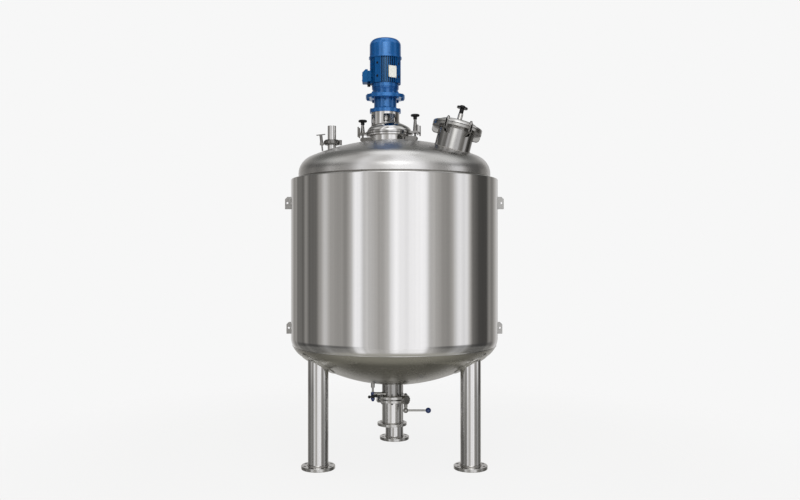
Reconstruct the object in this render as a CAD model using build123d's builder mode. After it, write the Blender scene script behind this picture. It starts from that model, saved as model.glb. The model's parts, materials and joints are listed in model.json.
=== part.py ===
from build123d import *
import os
from collections import namedtuple
from math import asin, cos, pi, radians, sin, sqrt

# A jacketed stainless mixing tank on three pipe legs. All sizes are in millimetres.
# The origin is on the floor under the tank's axis, +Z is up and the front faces -Y.

# Jacket and inner vessel
jacket_radius = 700
jacket_wall = 3
jacket_height = 1057
jacket_tangent_height = 832
jacket_panel_count = 4
jacket_seam_angle = 45
jacket_space_width = 50
hem_height = 59
bottom_knuckle_radius = 147
bottom_crown_radius = 1106
bottom_wall = 4
vessel_wall = 5
weld_gap = 0.3

# Domed top
top_flange_height = 39
top_knuckle_radius = 120
top_crown_radius = 1450
top_wall = 5

# Legs and feet
leg_count = 3
leg_angle = -30
leg_inset = 130
leg_radius = 66.5
leg_wall = 4
pad_rim_width = 38.5
pad_thickness = 4
foot_rim_width = 43.5
foot_thickness = 22
foot_edge_width = 2
foot_hole_count = 8
foot_hole_radius = 9
foot_hole_inset = 20

# Central neck with its ring and clamped lid
neck_offset = -34
neck_radius = 132.5
neck_wall = 4
neck_height = 32
neck_ring_width = 23.5
neck_ring_thickness = 13
lid_overhang_width = 4
lid_rim_thickness = 13
lid_shoulder_width = 8
lid_knuckle_radius = 40
lid_crown_radius = 240
lid_wall = 6

# Swing clamps on the central lid, with hand nuts at two heights
clamp_angles = {"left": 172, "right": -20}
clamp_stem_heights = {"left": 54, "right": 79}
clamp_gap = 29
clamp_pivot_drop = 21
ear_gap = 16
ear_thickness = 8
ear_radius = 15
clamp_pin_radius = 5
clamp_pin_overhang = 2
pin_clearance = 0.08
swing_rod_radius = 7
swing_eye_radius = 13
swing_side_clearance = 0.75
slot_clearance = 2
fork_seat_length = 6
horn_gap = 22
horn_thickness = 9
horn_width = 9
horn_rise = 41
horn_drop = 18
horn_slot_half_width = 20.5
clamp_seat_clearance = 2
clamp_cone_foot_radius = 15
clamp_cone_head_radius = 9
clamp_knob_radius = 30
clamp_knob_thickness = 16
clamp_knob_edge_width = 5
clamp_knob_hub_radius = 13
clamp_knob_hub_height = 18

# Lantern, gearbox and motor, on an axis beside the neck's
drive_offset = -28
lantern_radius = 96
lantern_wall = 9
lantern_height = 58
lantern_top_rail_height = 15
lantern_foot_rail_height = 5
lantern_window_count = 4
lantern_window_width = 84
lantern_window_corner_radius = 10
lantern_window_angle = 19
gear_flange_radius = 106
gear_flange_thickness = 24
gear_radius = 76.5
gear_height = 72
gear_fillet_height = 8
motor_flange_radius = 133
motor_flange_thickness = 24
bell_foot_radius = 80
bell_waist_height = 44
bell_groove_height = 6
bell_groove_depth = 6
shield_radius = 92
shield_height = 26
motor_core_radius = 92
motor_fin_radius = 105
motor_fin_count = 44
motor_fin_thickness = 4
motor_height = 172
motor_pad_count = 4
motor_pad_angle = -120
motor_pad_width = 44
fan_cover_clearance = 1.5
fan_cover_rim_width = 5.5
fan_cover_rim_height = 12
fan_cover_height = 134
fan_cover_shoulder_radius = 44
fan_grille_ring_count = 4
fan_grille_slot_width = 5
fan_grille_pitch = 11
fan_grille_depth = 6
fan_grille_hub_radius = 12
fan_grille_spoke_width = 7
box_neck_length = 14
box_neck_inset = 8
box_lid_length = 37
box_width = 84
box_height = 88
box_corner_width = 22
box_rise = 8
gland_radius = 9
gland_length = 22

# Agitator
shaft_radius = 22
impeller_gap_height = 95
shaft_seat_clearance = 0.3
coupling_radius = 34
coupling_height = 36
lid_bore_clearance = 8
blade_reach = 240
blade_height = 70
blade_thickness = 8
blade_pitch_angle = 45
blade_count = 4
blade_hub_radius = 34

# Hand hole at the front right, leaning outwards
hatch_inset = 181
hatch_angle = -36.7
hatch_tilt = 14.5
hatch_lean_angle = 10
hatch_radius = 117
hatch_wall = 4
hatch_neck_height = 113
hatch_flange_width = 45.5
hatch_flange_thickness = 17
hatch_gasket_thickness = 3
hatch_lid_thickness = 12
hatch_lid_knuckle_radius = 20
hatch_lid_crown_radius = 520
hatch_lid_shoulder_width = 30
hatch_place_count = 6
hatch_bolt_places = (1, 2, 4, 5)
hatch_bolt_inset = 14.5
hatch_bolt_radius = 6
hatch_nut_radius = 12
hatch_nut_height = 13
hatch_ring_radius = 8
hatch_ring_hole_radius = 3.5
hatch_eye_drop = 20
hatch_eye_radius = 10
hatch_ear_thickness = 6
hatch_ear_gap = 14
hatch_ear_drop = 44
hatch_ear_corner_radius = 24
hatch_boss_radius = 16.5
hatch_boss_height = 48
hatch_knob_radius = 36
hatch_knob_thickness = 20
hatch_knob_rim_height = 10
hatch_knob_notch_radius = 9
hatch_knob_notch_count = 6
hatch_knob_hub_radius = 14
hatch_knob_hub_height = 36

# Vent nozzle with its clamped joint
vent_inset = 223.8
vent_angle = -171.9
vent_radius = 28.5
vent_wall = 3
vent_joint_height = 46
vent_pipe_height = 112
ferrule_width = 14.5
ferrule_thickness = 9
vent_clamp_width = 26.5
vent_clamp_height = 34
vent_clamp_clearance = 4
vent_clamp_flare_height = 9
vent_hinge_length = 10
vent_hinge_width = 24
vent_jaw_length = 12
vent_jaw_width = 24
vent_screw_gap = 14
vent_screw_tilt = 6
vent_screw_radius = 5
vent_screw_drop = 56
vent_nut_radius = 10
vent_nut_height = 50
vent_bar_radius = 6
vent_bar_length = 60

# Side lugs on the jacket
lug_thickness = 10
lug_pad_thickness = 4
lug_pad_width = 60
upper_lug_drop = 195
upper_lug_height = 84
upper_lug_reach = 46
lower_lug_rise = 13
lower_lug_height = 80
lower_lug_reach = 36
lug_corner_width = 16
lug_hole_radius = 7

# Bottom outlet, measured down from the lowest point of the head
outlet_offset = -16
outlet_radius = 68
outlet_wall = 4
outlet_stub_length = 82.5
outlet_ring_width = 40
outlet_ring_thickness = 16
valve_gap_height = 8
valve_waist_width = 6
valve_disc_thickness = 6
outlet_pipe_length = 145
outlet_flange_radius = 100
outlet_flange_thickness = 18
outlet_hole_inset = 20
outlet_hole_count = 8
outlet_hole_radius = 9

# Outlet valve drive and lever
drive_angle = -40
drive_gap = 12
drive_head_radius = 29
drive_head_width = 16
drive_disc_radius = 31
drive_disc_thickness = 10
drive_notch_count = 14
drive_notch_radius = 3.5
drive_nut_radius = 14
drive_nut_height = 20
lever_gap = 2
lever_hub_radius = 18
lever_stem_radius = 8
lever_stem_clearance = 1
lever_rod_radius = 6.5
lever_length = 152
lever_ball_radius = 19

# Sampling valve on the left
sample_gap = 22
sample_offset = -42
sample_nipple_radius = 13
sample_nipple_length = 35.5
sample_tube_radius = 7
sample_tube_length = 31
sample_body_radius = 14
sample_body_height = 62
sample_body_foot_height = 14
sample_stem_drop = 26
sample_stem_radius = 5
sample_collar_width = 4
sample_collar_length = 4
sample_wing_gap = 1
sample_wing_span = 66
sample_wing_waist_width = 10
sample_wing_radius = 10
sample_wing_thickness = 8
sample_wing_tilt = 8
sample_line_radius = 12.5
sample_line_drop = 69

Dish = namedtuple("Dish", "radius knuckle crown tangent side")


def grown(dish, amount):
    """The same dish with its surface moved outwards by amount."""
    return Dish(
        dish.radius + amount,
        dish.knuckle + amount,
        dish.crown + amount,
        dish.tangent,
        dish.side,
    )


def joint_angle(dish):
    """Angle from the axis at which the crown meets the knuckle."""
    return asin((dish.radius - dish.knuckle) / (dish.crown - dish.knuckle))


def crown_centre(dish):
    """Height of the crown's centre on the axis."""
    rise = (dish.crown - dish.knuckle) * cos(joint_angle(dish))
    return dish.tangent - dish.side * rise


def knuckle_point(dish, angle):
    """Point of the knuckle, with angle zero at the tangent line."""
    x = dish.radius - dish.knuckle + dish.knuckle * cos(angle)
    return (x, dish.tangent + dish.side * dish.knuckle * sin(angle))


def crown_point(dish, angle):
    """Point of the crown, with angle zero on the axis."""
    x = dish.crown * sin(angle)
    return (x, crown_centre(dish) + dish.side * dish.crown * cos(angle))


def dish_height(dish, reach):
    """Height of the dish's crown at a distance from the axis."""
    return crown_centre(dish) + dish.side * sqrt(dish.crown**2 - reach**2)


def knuckle_arc(dish, start, end):
    ThreePointArc(
        knuckle_point(dish, start),
        knuckle_point(dish, (start + end) / 2),
        knuckle_point(dish, end),
    )


def crown_arc(dish):
    joint = joint_angle(dish)
    ThreePointArc(
        crown_point(dish, 0),
        crown_point(dish, joint / 2),
        crown_point(dish, joint),
    )


def dish_skin(outer, inner):
    """Closed ends of a shell's profile on its axis, from one dish to the other."""
    knuckle_arc(outer, 0, quarter - joint_angle(outer))
    knuckle_arc(inner, 0, quarter - joint_angle(inner))
    crown_arc(outer)
    crown_arc(inner)
    Line(crown_point(outer, 0), crown_point(inner, 0))


def upright(angle, origin=(0, 0, 0)):
    """Upright plane whose x runs outwards at angle degrees and whose y runs up."""
    a = radians(angle)
    return Plane(origin=origin, x_dir=(cos(a), sin(a), 0), z_dir=(sin(a), -cos(a), 0))


def level(height, spot=(0, 0), angle=0):
    """Level plane at a height, centred on a spot, whose x runs at angle degrees."""
    a = radians(angle)
    return Plane(origin=(*spot, height), x_dir=(cos(a), sin(a), 0), z_dir=(0, 0, 1))


def facing(angle, origin):
    """Upright plane that faces outwards at angle degrees, with its y up."""
    a = radians(angle)
    return Plane(origin=origin, x_dir=(-sin(a), cos(a), 0), z_dir=(cos(a), sin(a), 0))


def polar(radius, angle, centre=0):
    """Point at a radius and an angle in degrees about a spot on the X axis."""
    a = radians(angle)
    return (centre + radius * cos(a), radius * sin(a))


def save(shape, name):
    shape.label = name
    export_step(shape, f"parts/{name}.step")


os.makedirs("parts", exist_ok=True)
quarter = pi / 2

# Heights and places that follow from the sizes
vessel_radius = jacket_radius - jacket_space_width
jacket_top = jacket_tangent_height + jacket_height
top_tangent = jacket_top + top_flange_height
bottom_dish = Dish(
    jacket_radius, bottom_knuckle_radius, bottom_crown_radius, jacket_tangent_height, -1
)
vessel_dish = grown(bottom_dish, -jacket_space_width)
top_dish = Dish(vessel_radius, top_knuckle_radius, top_crown_radius, top_tangent, 1)
dome_top = dish_height(top_dish, 0)
head_bottom = dish_height(bottom_dish, 0)
hem_angle = asin(hem_height / bottom_knuckle_radius)

neck_ring_radius = neck_radius + neck_ring_width
neck_bore_radius = neck_radius - neck_wall
neck_ring_bottom = dome_top + neck_height
neck_ring_top = neck_ring_bottom + neck_ring_thickness
lid_radius = neck_ring_radius + lid_overhang_width
lid_rim_top = neck_ring_top + lid_rim_thickness
lid_dish = Dish(lid_radius - lid_shoulder_width, lid_knuckle_radius, lid_crown_radius, lid_rim_top, 1)
lid_top = dish_height(lid_dish, 0)

drive_x = neck_offset + drive_offset
drive_spot = (drive_x, 0)
lantern_top = lid_top + lantern_height
gear_flange_top = lantern_top + gear_flange_thickness
gear_top = gear_flange_top + gear_height
motor_flange_top = gear_top + motor_flange_thickness
shield_bottom = motor_flange_top + bell_waist_height + bell_groove_height
motor_bottom = shield_bottom + shield_height
motor_top = motor_bottom + motor_height
fan_cover_radius = motor_fin_radius + fan_cover_clearance

leg_reach = jacket_radius - leg_inset
leg_angles = [leg_angle + 360 / leg_count * i for i in range(leg_count)]
pad_radius = leg_radius + pad_rim_width
foot_radius = leg_radius + foot_rim_width
foot_hole_reach = foot_radius - foot_hole_inset

upper_ring_top = head_bottom - outlet_stub_length
upper_ring_bottom = upper_ring_top - outlet_ring_thickness
lower_ring_top = upper_ring_bottom - valve_gap_height
lower_ring_bottom = lower_ring_top - outlet_ring_thickness
valve_middle = (upper_ring_bottom + lower_ring_top) / 2
outlet_spot = (outlet_offset, 0)
outlet_bore_radius = outlet_radius - outlet_wall
outlet_ring_radius = outlet_radius + outlet_ring_width
outlet_flange_top = lower_ring_bottom - outlet_pipe_length
outlet_flange_bottom = outlet_flange_top - outlet_flange_thickness


# Filled heads that trim whatever is welded onto them
def filled_dish(dish, centre=0):
    base = dish.tangent - dish.side * dish.crown / 2
    with BuildPart() as core:
        with BuildSketch(upright(0, (centre, 0, 0))):
            with BuildLine():
                knuckle_arc(dish, 0, quarter - joint_angle(dish))
                crown_arc(dish)
                Polyline(
                    (0, dish_height(dish, 0)),
                    (0, base),
                    (dish.radius, base),
                    (dish.radius, dish.tangent),
                )
            make_face()
        revolve(axis=Axis((centre, 0, 0), (0, 0, 1)))
    return core.part


top_core = filled_dish(top_dish)
bottom_core = filled_dish(bottom_dish)
padded_core = filled_dish(grown(bottom_dish, pad_thickness))
vessel_core = filled_dish(vessel_dish)
lid_core = filled_dish(lid_dish, neck_offset)


# Jacket, rolled in panels with a turned-in top and a rolled-in hem
def jacket_profile():
    inner_dish = grown(bottom_dish, -jacket_wall)
    lip = vessel_radius + weld_gap
    knuckle_arc(bottom_dish, 0, hem_angle)
    knuckle_arc(inner_dish, 0, hem_angle)
    Line(knuckle_point(bottom_dish, hem_angle), knuckle_point(inner_dish, hem_angle))
    Polyline(
        (jacket_radius, jacket_tangent_height),
        (jacket_radius, jacket_top),
        (lip, jacket_top),
        (lip, jacket_top - jacket_wall),
        (inner_dish.radius, jacket_top - jacket_wall),
        (inner_dish.radius, jacket_tangent_height),
    )


panel_arc = 360 / jacket_panel_count
for index in range(jacket_panel_count):
    with BuildPart() as jacket_panel:
        with BuildSketch(upright(jacket_seam_angle + panel_arc * index)):
            with BuildLine():
                jacket_profile()
            make_face()
        revolve(axis=Axis.Z, revolution_arc=panel_arc)
    save(jacket_panel.part, f"jacket_panel_{index + 1}")

# Outer bottom head, from the jacket's hem down, with the outlet's hole
bottom_inner = grown(bottom_dish, -bottom_wall)
with BuildPart() as bottom_head:
    with BuildSketch(Plane.XZ):
        with BuildLine():
            knuckle_arc(bottom_dish, hem_angle, quarter - joint_angle(bottom_dish))
            knuckle_arc(bottom_inner, hem_angle, quarter - joint_angle(bottom_inner))
            crown_arc(bottom_dish)
            crown_arc(bottom_inner)
            Line(knuckle_point(bottom_dish, hem_angle), knuckle_point(bottom_inner, hem_angle))
            Line(crown_point(bottom_dish, 0), crown_point(bottom_inner, 0))
        make_face()
    revolve(axis=Axis.Z)
    with BuildSketch(level(upper_ring_top, outlet_spot)):
        Circle(outlet_radius)
    extrude(amount=jacket_tangent_height - upper_ring_top, mode=Mode.SUBTRACT)
save(bottom_head.part, "bottom_head")

# Inner vessel, at an even distance behind the jacket and the head
vessel_inner = grown(vessel_dish, -vessel_wall)
with BuildPart() as inner_vessel:
    with BuildSketch(Plane.XZ):
        with BuildLine():
            dish_skin(vessel_dish, vessel_inner)
            Polyline(
                (vessel_radius, jacket_tangent_height),
                (vessel_radius, jacket_top),
                (vessel_inner.radius, jacket_top),
                (vessel_inner.radius, jacket_tangent_height),
            )
        make_face()
    revolve(axis=Axis.Z)
    with BuildSketch(level(upper_ring_top, outlet_spot)):
        Circle(outlet_bore_radius)
    extrude(amount=jacket_tangent_height - upper_ring_top, mode=Mode.SUBTRACT)
save(inner_vessel.part, "inner_vessel")

# Hand hole's plane, square to its leaning axis
hatch_spot = polar(vessel_radius - hatch_inset, hatch_angle)
hatch_base = dish_height(top_dish, vessel_radius - hatch_inset)
hatch_axis = Vector(*polar(sin(radians(hatch_tilt)), hatch_lean_angle), cos(radians(hatch_tilt)))
hatch_plane = Plane(
    origin=(*hatch_spot, hatch_base),
    x_dir=Vector(1, 0, 0) - hatch_axis * hatch_axis.X,
    z_dir=hatch_axis,
)
hatch_bore_radius = hatch_radius - hatch_wall
hatch_depth = hatch_radius

# Vent's place on the dome
vent_spot = polar(vessel_radius - vent_inset, vent_angle)
vent_bore_radius = vent_radius - vent_wall
vent_foot = dish_height(top_dish, vessel_radius - vent_inset)
vent_joint = vent_foot + vent_joint_height

# Domed top with its straight flange and three openings
top_inner = grown(top_dish, -top_wall)
with BuildPart() as top_head:
    with BuildSketch(Plane.XZ):
        with BuildLine():
            dish_skin(top_dish, top_inner)
            Polyline(
                (vessel_radius, top_tangent),
                (vessel_radius, jacket_top),
                (top_inner.radius, jacket_top),
                (top_inner.radius, top_tangent),
            )
        make_face()
    revolve(axis=Axis.Z)
    with BuildSketch(level(top_tangent, (neck_offset, 0))):
        Circle(neck_bore_radius)
    with BuildSketch(level(top_tangent, vent_spot)):
        Circle(vent_bore_radius)
    extrude(amount=neck_ring_bottom - top_tangent, mode=Mode.SUBTRACT)
    with BuildSketch(hatch_plane.offset(-hatch_depth)):
        Circle(hatch_bore_radius)
    extrude(amount=2 * hatch_depth, mode=Mode.SUBTRACT)
save(top_head.part, "top_head")


# Legs stand on foot flanges and are trimmed to pads on the bottom head
for index, angle in enumerate(leg_angles):
    spot = polar(leg_reach, angle)
    with BuildPart() as leg:
        with BuildSketch(level(foot_thickness, spot)):
            Circle(leg_radius)
            Circle(leg_radius - leg_wall, mode=Mode.SUBTRACT)
        extrude(amount=jacket_tangent_height - foot_thickness)
        add(padded_core, mode=Mode.SUBTRACT)
    save(leg.part, f"leg_{index + 1}")

    with BuildPart() as foot:
        with BuildSketch(level(0, spot)):
            Circle(foot_radius)
        extrude(amount=foot_thickness)
        chamfer(foot.edges().filter_by(GeomType.CIRCLE), foot_edge_width)
        with BuildSketch(level(0, spot)):
            with PolarLocations(foot_hole_reach, foot_hole_count, 180 / foot_hole_count):
                Circle(foot_hole_radius)
        extrude(amount=foot_thickness, mode=Mode.SUBTRACT)
    save(foot.part, f"foot_flange_{index + 1}")

with BuildPart() as leg_pads:
    with BuildSketch():
        for angle in leg_angles:
            with Locations(polar(leg_reach, angle)):
                Circle(pad_radius)
    extrude(amount=jacket_tangent_height)
    add(padded_core, mode=Mode.INTERSECT)
    add(bottom_core, mode=Mode.SUBTRACT)
save(leg_pads.part, "leg_pads")


# Central neck with its ring
with BuildPart() as neck:
    with BuildSketch(level(top_tangent, (neck_offset, 0))):
        Circle(neck_radius)
    extrude(amount=neck_ring_bottom - top_tangent)
    with BuildSketch(level(neck_ring_bottom, (neck_offset, 0))):
        Circle(neck_ring_radius)
    extrude(amount=neck_ring_thickness)
    with BuildSketch(level(top_tangent, (neck_offset, 0))):
        Circle(neck_bore_radius)
    extrude(amount=neck_ring_top - top_tangent, mode=Mode.SUBTRACT)
    add(top_core, mode=Mode.SUBTRACT)
save(neck.part, "neck")

# Lid: a dished cap on a flat rim, with a fork and two upturned horns at each swing bolt
clamp_reach = neck_ring_radius + clamp_gap
fork_slot = swing_rod_radius + slot_clearance
horn_reach = clamp_reach + horn_gap
lid_inner = grown(lid_dish, -lid_wall)
with BuildPart() as neck_lid:
    with BuildSketch(upright(0, (neck_offset, 0, 0))):
        with BuildLine():
            dish_skin(lid_dish, lid_inner)
            Polyline(
                (lid_dish.radius, lid_rim_top),
                (lid_radius, lid_rim_top),
                (lid_radius, neck_ring_top),
                (lid_inner.radius, neck_ring_top),
                (lid_inner.radius, lid_rim_top),
            )
        make_face()
    revolve(axis=Axis((neck_offset, 0, 0), (0, 0, 1)))
    for angle in clamp_angles.values():
        fork_plane = level(neck_ring_top, (neck_offset, 0), angle)
        fork_start = (lid_radius + lid_dish.radius) / 2
        fork_length = horn_reach + horn_width - fork_start
        with BuildSketch(fork_plane):
            with Locations((fork_start + fork_length / 2, 0)):
                Rectangle(fork_length, 2 * (horn_slot_half_width + horn_thickness))
            with Locations((clamp_reach, 0)):
                Circle(fork_slot, mode=Mode.SUBTRACT)
            with Locations((clamp_reach + fork_length, 0)):
                Rectangle(2 * fork_length, 2 * fork_slot, mode=Mode.SUBTRACT)
            with Locations((clamp_reach + fork_seat_length + fork_length, 0)):
                Rectangle(2 * fork_length, 2 * horn_slot_half_width, mode=Mode.SUBTRACT)
        extrude(amount=lid_rim_thickness)
        for side in (-1, 1):
            shift = side * (horn_slot_half_width + horn_thickness / 2)
            foot_x, foot_y = polar(horn_reach + horn_width / 2, angle, neck_offset)
            across_x, across_y = polar(shift, angle + 90)
            middle = lid_rim_top + (horn_rise - horn_drop - lid_rim_thickness) / 2
            with BuildSketch(upright(angle, (foot_x + across_x, foot_y + across_y, middle))):
                SlotOverall(horn_rise + lid_rim_thickness + horn_drop, horn_width, rotation=90)
            extrude(amount=horn_thickness / 2, both=True)
    with BuildSketch(level(neck_ring_top, drive_spot)):
        Circle(shaft_radius + lid_bore_clearance)
    extrude(amount=lid_top - neck_ring_top, mode=Mode.SUBTRACT)
save(neck_lid.part, "neck_lid")


# Swing clamps: fixed ears on the neck, an eye bolt between them and a black hand nut
clamp_pivot = neck_ring_bottom - clamp_pivot_drop
clamp_seat = lid_rim_top + clamp_seat_clearance
with BuildPart() as clamp_ears:
    for angle in clamp_angles.values():
        for side in (-1, 1):
            shift = side * (ear_gap + ear_thickness) / 2
            ear_x, ear_y = polar(shift, angle + 90, neck_offset)
            with BuildSketch(upright(angle, (ear_x, ear_y, clamp_pivot))):
                with Locations((clamp_reach, 0)):
                    Circle(ear_radius)
                with Locations((clamp_reach / 2, 0)):
                    Rectangle(clamp_reach, 2 * ear_radius)
                with Locations((clamp_reach, 0)):
                    Circle(clamp_pin_radius + pin_clearance, mode=Mode.SUBTRACT)
            extrude(amount=ear_thickness / 2, both=True)
    with BuildSketch(level(clamp_pivot - 2 * ear_radius, (neck_offset, 0))):
        Circle(neck_radius)
    extrude(amount=4 * ear_radius, mode=Mode.SUBTRACT)
    add(top_core, mode=Mode.SUBTRACT)
save(clamp_ears.part, "clamp_ears")

eye_width = ear_gap - 2 * swing_side_clearance
pin_length = ear_gap + 2 * (ear_thickness + clamp_pin_overhang)
for side, angle in clamp_angles.items():
    spot = polar(clamp_reach, angle, neck_offset)
    pivot_plane = upright(angle, (*spot, clamp_pivot))
    cone_top = clamp_seat + clamp_stem_heights[side]
    knob_bottom = cone_top + clamp_knob_hub_height
    with BuildPart() as clamp_bolt:
        with BuildSketch(pivot_plane):
            Circle(swing_eye_radius)
        extrude(amount=eye_width / 2, both=True)
        with BuildSketch(pivot_plane):
            Circle(clamp_pin_radius)
        extrude(amount=pin_length / 2, both=True)
        with BuildSketch(level(clamp_pivot, spot)):
            Circle(swing_rod_radius)
        extrude(amount=knob_bottom - clamp_pivot)
        with BuildSketch(level(clamp_seat, spot)):
            Circle(clamp_cone_foot_radius)
        with BuildSketch(level(cone_top, spot)):
            Circle(clamp_cone_head_radius)
        loft()
    save(clamp_bolt.part, f"clamp_bolt_{side}")

    with BuildPart() as clamp_knob:
        with BuildSketch(level(cone_top, spot)):
            Circle(clamp_knob_hub_radius)
            Circle(swing_rod_radius, mode=Mode.SUBTRACT)
        extrude(amount=clamp_knob_hub_height)
        with BuildSketch(level(knob_bottom, spot)):
            Circle(clamp_knob_radius)
        extrude(amount=clamp_knob_thickness)
        rims = clamp_knob.edges().filter_by(GeomType.CIRCLE).group_by(SortBy.RADIUS)[-1]
        chamfer(rims, clamp_knob_edge_width)
    save(clamp_knob.part, f"clamp_knob_{side}")


# Lantern, coped to the lid, with four windows on the shaft
window_bottom = lid_top + lantern_foot_rail_height - lid_knuckle_radius / 2
window_top = lantern_top - lantern_top_rail_height
with BuildPart() as lantern:
    with BuildSketch(level(lid_rim_top, drive_spot)):
        Circle(lantern_radius)
        Circle(lantern_radius - lantern_wall, mode=Mode.SUBTRACT)
    extrude(amount=lantern_top - lid_rim_top)
    for index in range(lantern_window_count):
        angle = lantern_window_angle + 360 / lantern_window_count * index
        with BuildSketch(facing(angle, (drive_x, 0, (window_bottom + window_top) / 2))):
            RectangleRounded(
                lantern_window_width, window_top - window_bottom, lantern_window_corner_radius
            )
        extrude(amount=lantern_radius + lantern_wall, mode=Mode.SUBTRACT)
    add(lid_core, mode=Mode.SUBTRACT)
save(lantern.part, "lantern")

# Gearbox with its lower flange
with BuildPart() as gearbox:
    with BuildSketch(upright(0, (drive_x, 0, 0))):
        with BuildLine():
            Polyline(
                (0, lantern_top),
                (gear_flange_radius, lantern_top),
                (gear_flange_radius, gear_flange_top),
                (gear_radius + gear_fillet_height, gear_flange_top),
                (gear_radius, gear_flange_top + gear_fillet_height),
                (gear_radius, gear_top),
                (0, gear_top),
                close=True,
            )
        make_face()
    revolve(axis=Axis((drive_x, 0, 0), (0, 0, 1)))
save(gearbox.part, "gearbox")

# Motor's end bell: flange, waisted bell, groove and shield
bell_top = motor_flange_top + bell_waist_height
with BuildPart() as end_bell:
    with BuildSketch(upright(0, (drive_x, 0, 0))):
        with BuildLine():
            Polyline(
                (shield_radius, bell_top),
                (shield_radius - bell_groove_depth, bell_top),
                (shield_radius - bell_groove_depth, shield_bottom),
                (shield_radius, shield_bottom),
                (shield_radius, motor_bottom),
                (0, motor_bottom),
                (0, gear_top),
                (motor_flange_radius, gear_top),
                (motor_flange_radius, motor_flange_top),
                (bell_foot_radius, motor_flange_top),
            )
            TangentArc(
                (bell_foot_radius, motor_flange_top),
                (shield_radius, bell_top),
                tangent=(0, 1),
            )
        make_face()
    revolve(axis=Axis((drive_x, 0, 0), (0, 0, 1)))
save(end_bell.part, "motor_end_bell")

# Finned motor housing with four smooth pads
with BuildPart() as motor_housing:
    with BuildSketch(level(motor_bottom, drive_spot)):
        Circle(motor_core_radius)
        with PolarLocations(motor_fin_radius / 2, motor_fin_count):
            Rectangle(motor_fin_radius, motor_fin_thickness)
        with PolarLocations(motor_fin_radius / 2, motor_pad_count, motor_pad_angle):
            Rectangle(motor_fin_radius, motor_pad_width)
    extrude(amount=motor_height)
save(motor_housing.part, "motor_housing")

# Fan cover with a flared rim, a rounded shoulder and a slotted grille on top
with BuildPart() as fan_cover:
    with BuildSketch(level(motor_top, drive_spot)):
        Circle(fan_cover_radius)
    extrude(amount=fan_cover_height)
    fillet(fan_cover.edges().group_by(Axis.Z)[-1], fan_cover_shoulder_radius)
    with BuildSketch(level(motor_top, drive_spot)):
        Circle(fan_cover_radius + fan_cover_rim_width)
    extrude(amount=fan_cover_rim_height)
    with BuildSketch(level(motor_top + fan_cover_height, drive_spot)):
        for ring in range(fan_grille_ring_count):
            slot_inner = fan_grille_hub_radius + fan_grille_pitch * ring
            Circle(slot_inner + fan_grille_slot_width)
            Circle(slot_inner, mode=Mode.SUBTRACT)
            Circle(fan_grille_hub_radius, mode=Mode.SUBTRACT)
        Rectangle(2 * fan_cover_radius, fan_grille_spoke_width, mode=Mode.SUBTRACT)
        Rectangle(fan_grille_spoke_width, 2 * fan_cover_radius, mode=Mode.SUBTRACT)
    extrude(amount=-fan_grille_depth, mode=Mode.SUBTRACT)
save(fan_cover.part, "fan_cover")

# Terminal box on the motor's left, with a neck, a bevelled lid and a cable gland
box_bottom = motor_bottom + box_rise
box_inner = drive_x - motor_fin_radius
box_seam = box_inner - box_neck_length
box_outer = box_seam - box_lid_length
with BuildPart() as terminal_box:
    with BuildSketch(facing(180, (drive_x, 0, box_bottom + box_height / 2))):
        Rectangle(box_width - 2 * box_neck_inset, box_height - 2 * box_neck_inset)
    extrude(amount=drive_x - box_seam)
    with BuildSketch(Plane.XZ):
        with BuildLine():
            Polyline(
                (box_seam, box_bottom),
                (box_outer, box_bottom),
                (box_outer, box_bottom + box_height - box_corner_width),
                (box_outer + box_corner_width, box_bottom + box_height),
                (box_seam, box_bottom + box_height),
                close=True,
            )
        make_face()
    extrude(amount=box_width / 2, both=True)
    with BuildSketch(level(box_bottom + box_neck_inset, ((box_inner + box_seam) / 2, 0))):
        Circle(gland_radius)
    extrude(amount=-gland_length - box_neck_inset)
    with BuildSketch(level(motor_bottom - gland_length, drive_spot)):
        Circle(motor_core_radius)
        with PolarLocations(motor_fin_radius / 2, motor_fin_count):
            Rectangle(motor_fin_radius, motor_fin_thickness)
        with PolarLocations(motor_fin_radius / 2, motor_pad_count, motor_pad_angle):
            Rectangle(motor_fin_radius, motor_pad_width)
    extrude(amount=motor_height + gland_length, mode=Mode.SUBTRACT)
save(terminal_box.part, "terminal_box")


# Agitator: shaft, coupling in the lantern and a pitched-blade impeller
shaft_top = lantern_top - shaft_seat_clearance
shaft_bottom = dish_height(vessel_inner, 0) + impeller_gap_height
shaft_length = shaft_top - shaft_bottom
blade_middle = shaft_bottom + blade_height / 2
coupling_bottom = lantern_top - lantern_top_rail_height - coupling_height
with BuildPart() as agitator:
    with BuildSketch(level(shaft_bottom, drive_spot)):
        Circle(shaft_radius)
    extrude(amount=shaft_length)
    with BuildSketch(level(coupling_bottom, drive_spot)):
        Circle(coupling_radius)
    extrude(amount=coupling_height)
    with BuildSketch(level(shaft_bottom, drive_spot)):
        Circle(blade_hub_radius)
    extrude(amount=blade_height)
    for index in range(blade_count):
        with BuildSketch(facing(360 / blade_count * index, (drive_x, 0, blade_middle))):
            Rectangle(blade_thickness, blade_height, rotation=blade_pitch_angle)
        extrude(amount=blade_reach)
save(agitator.part, "agitator")


# Hand hole: neck, flange, dished lid, swing bolts and star knob
hatch_flange_radius = hatch_radius + hatch_flange_width
hatch_flange_top = hatch_neck_height + hatch_flange_thickness
hatch_lid_bottom = hatch_flange_top + hatch_gasket_thickness
hatch_lid_top = hatch_lid_bottom + hatch_lid_thickness
hatch_bolt_reach = hatch_flange_radius - hatch_bolt_inset
hatch_slot = hatch_bolt_radius + slot_clearance
hatch_step = 360 / hatch_place_count

with BuildPart() as hatch_neck:
    with BuildSketch(hatch_plane.offset(-hatch_depth)):
        Circle(hatch_radius)
        Circle(hatch_bore_radius, mode=Mode.SUBTRACT)
    extrude(amount=hatch_depth + hatch_neck_height)
    add(top_core, mode=Mode.SUBTRACT)
save(hatch_neck.part, "hatch_neck")


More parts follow.
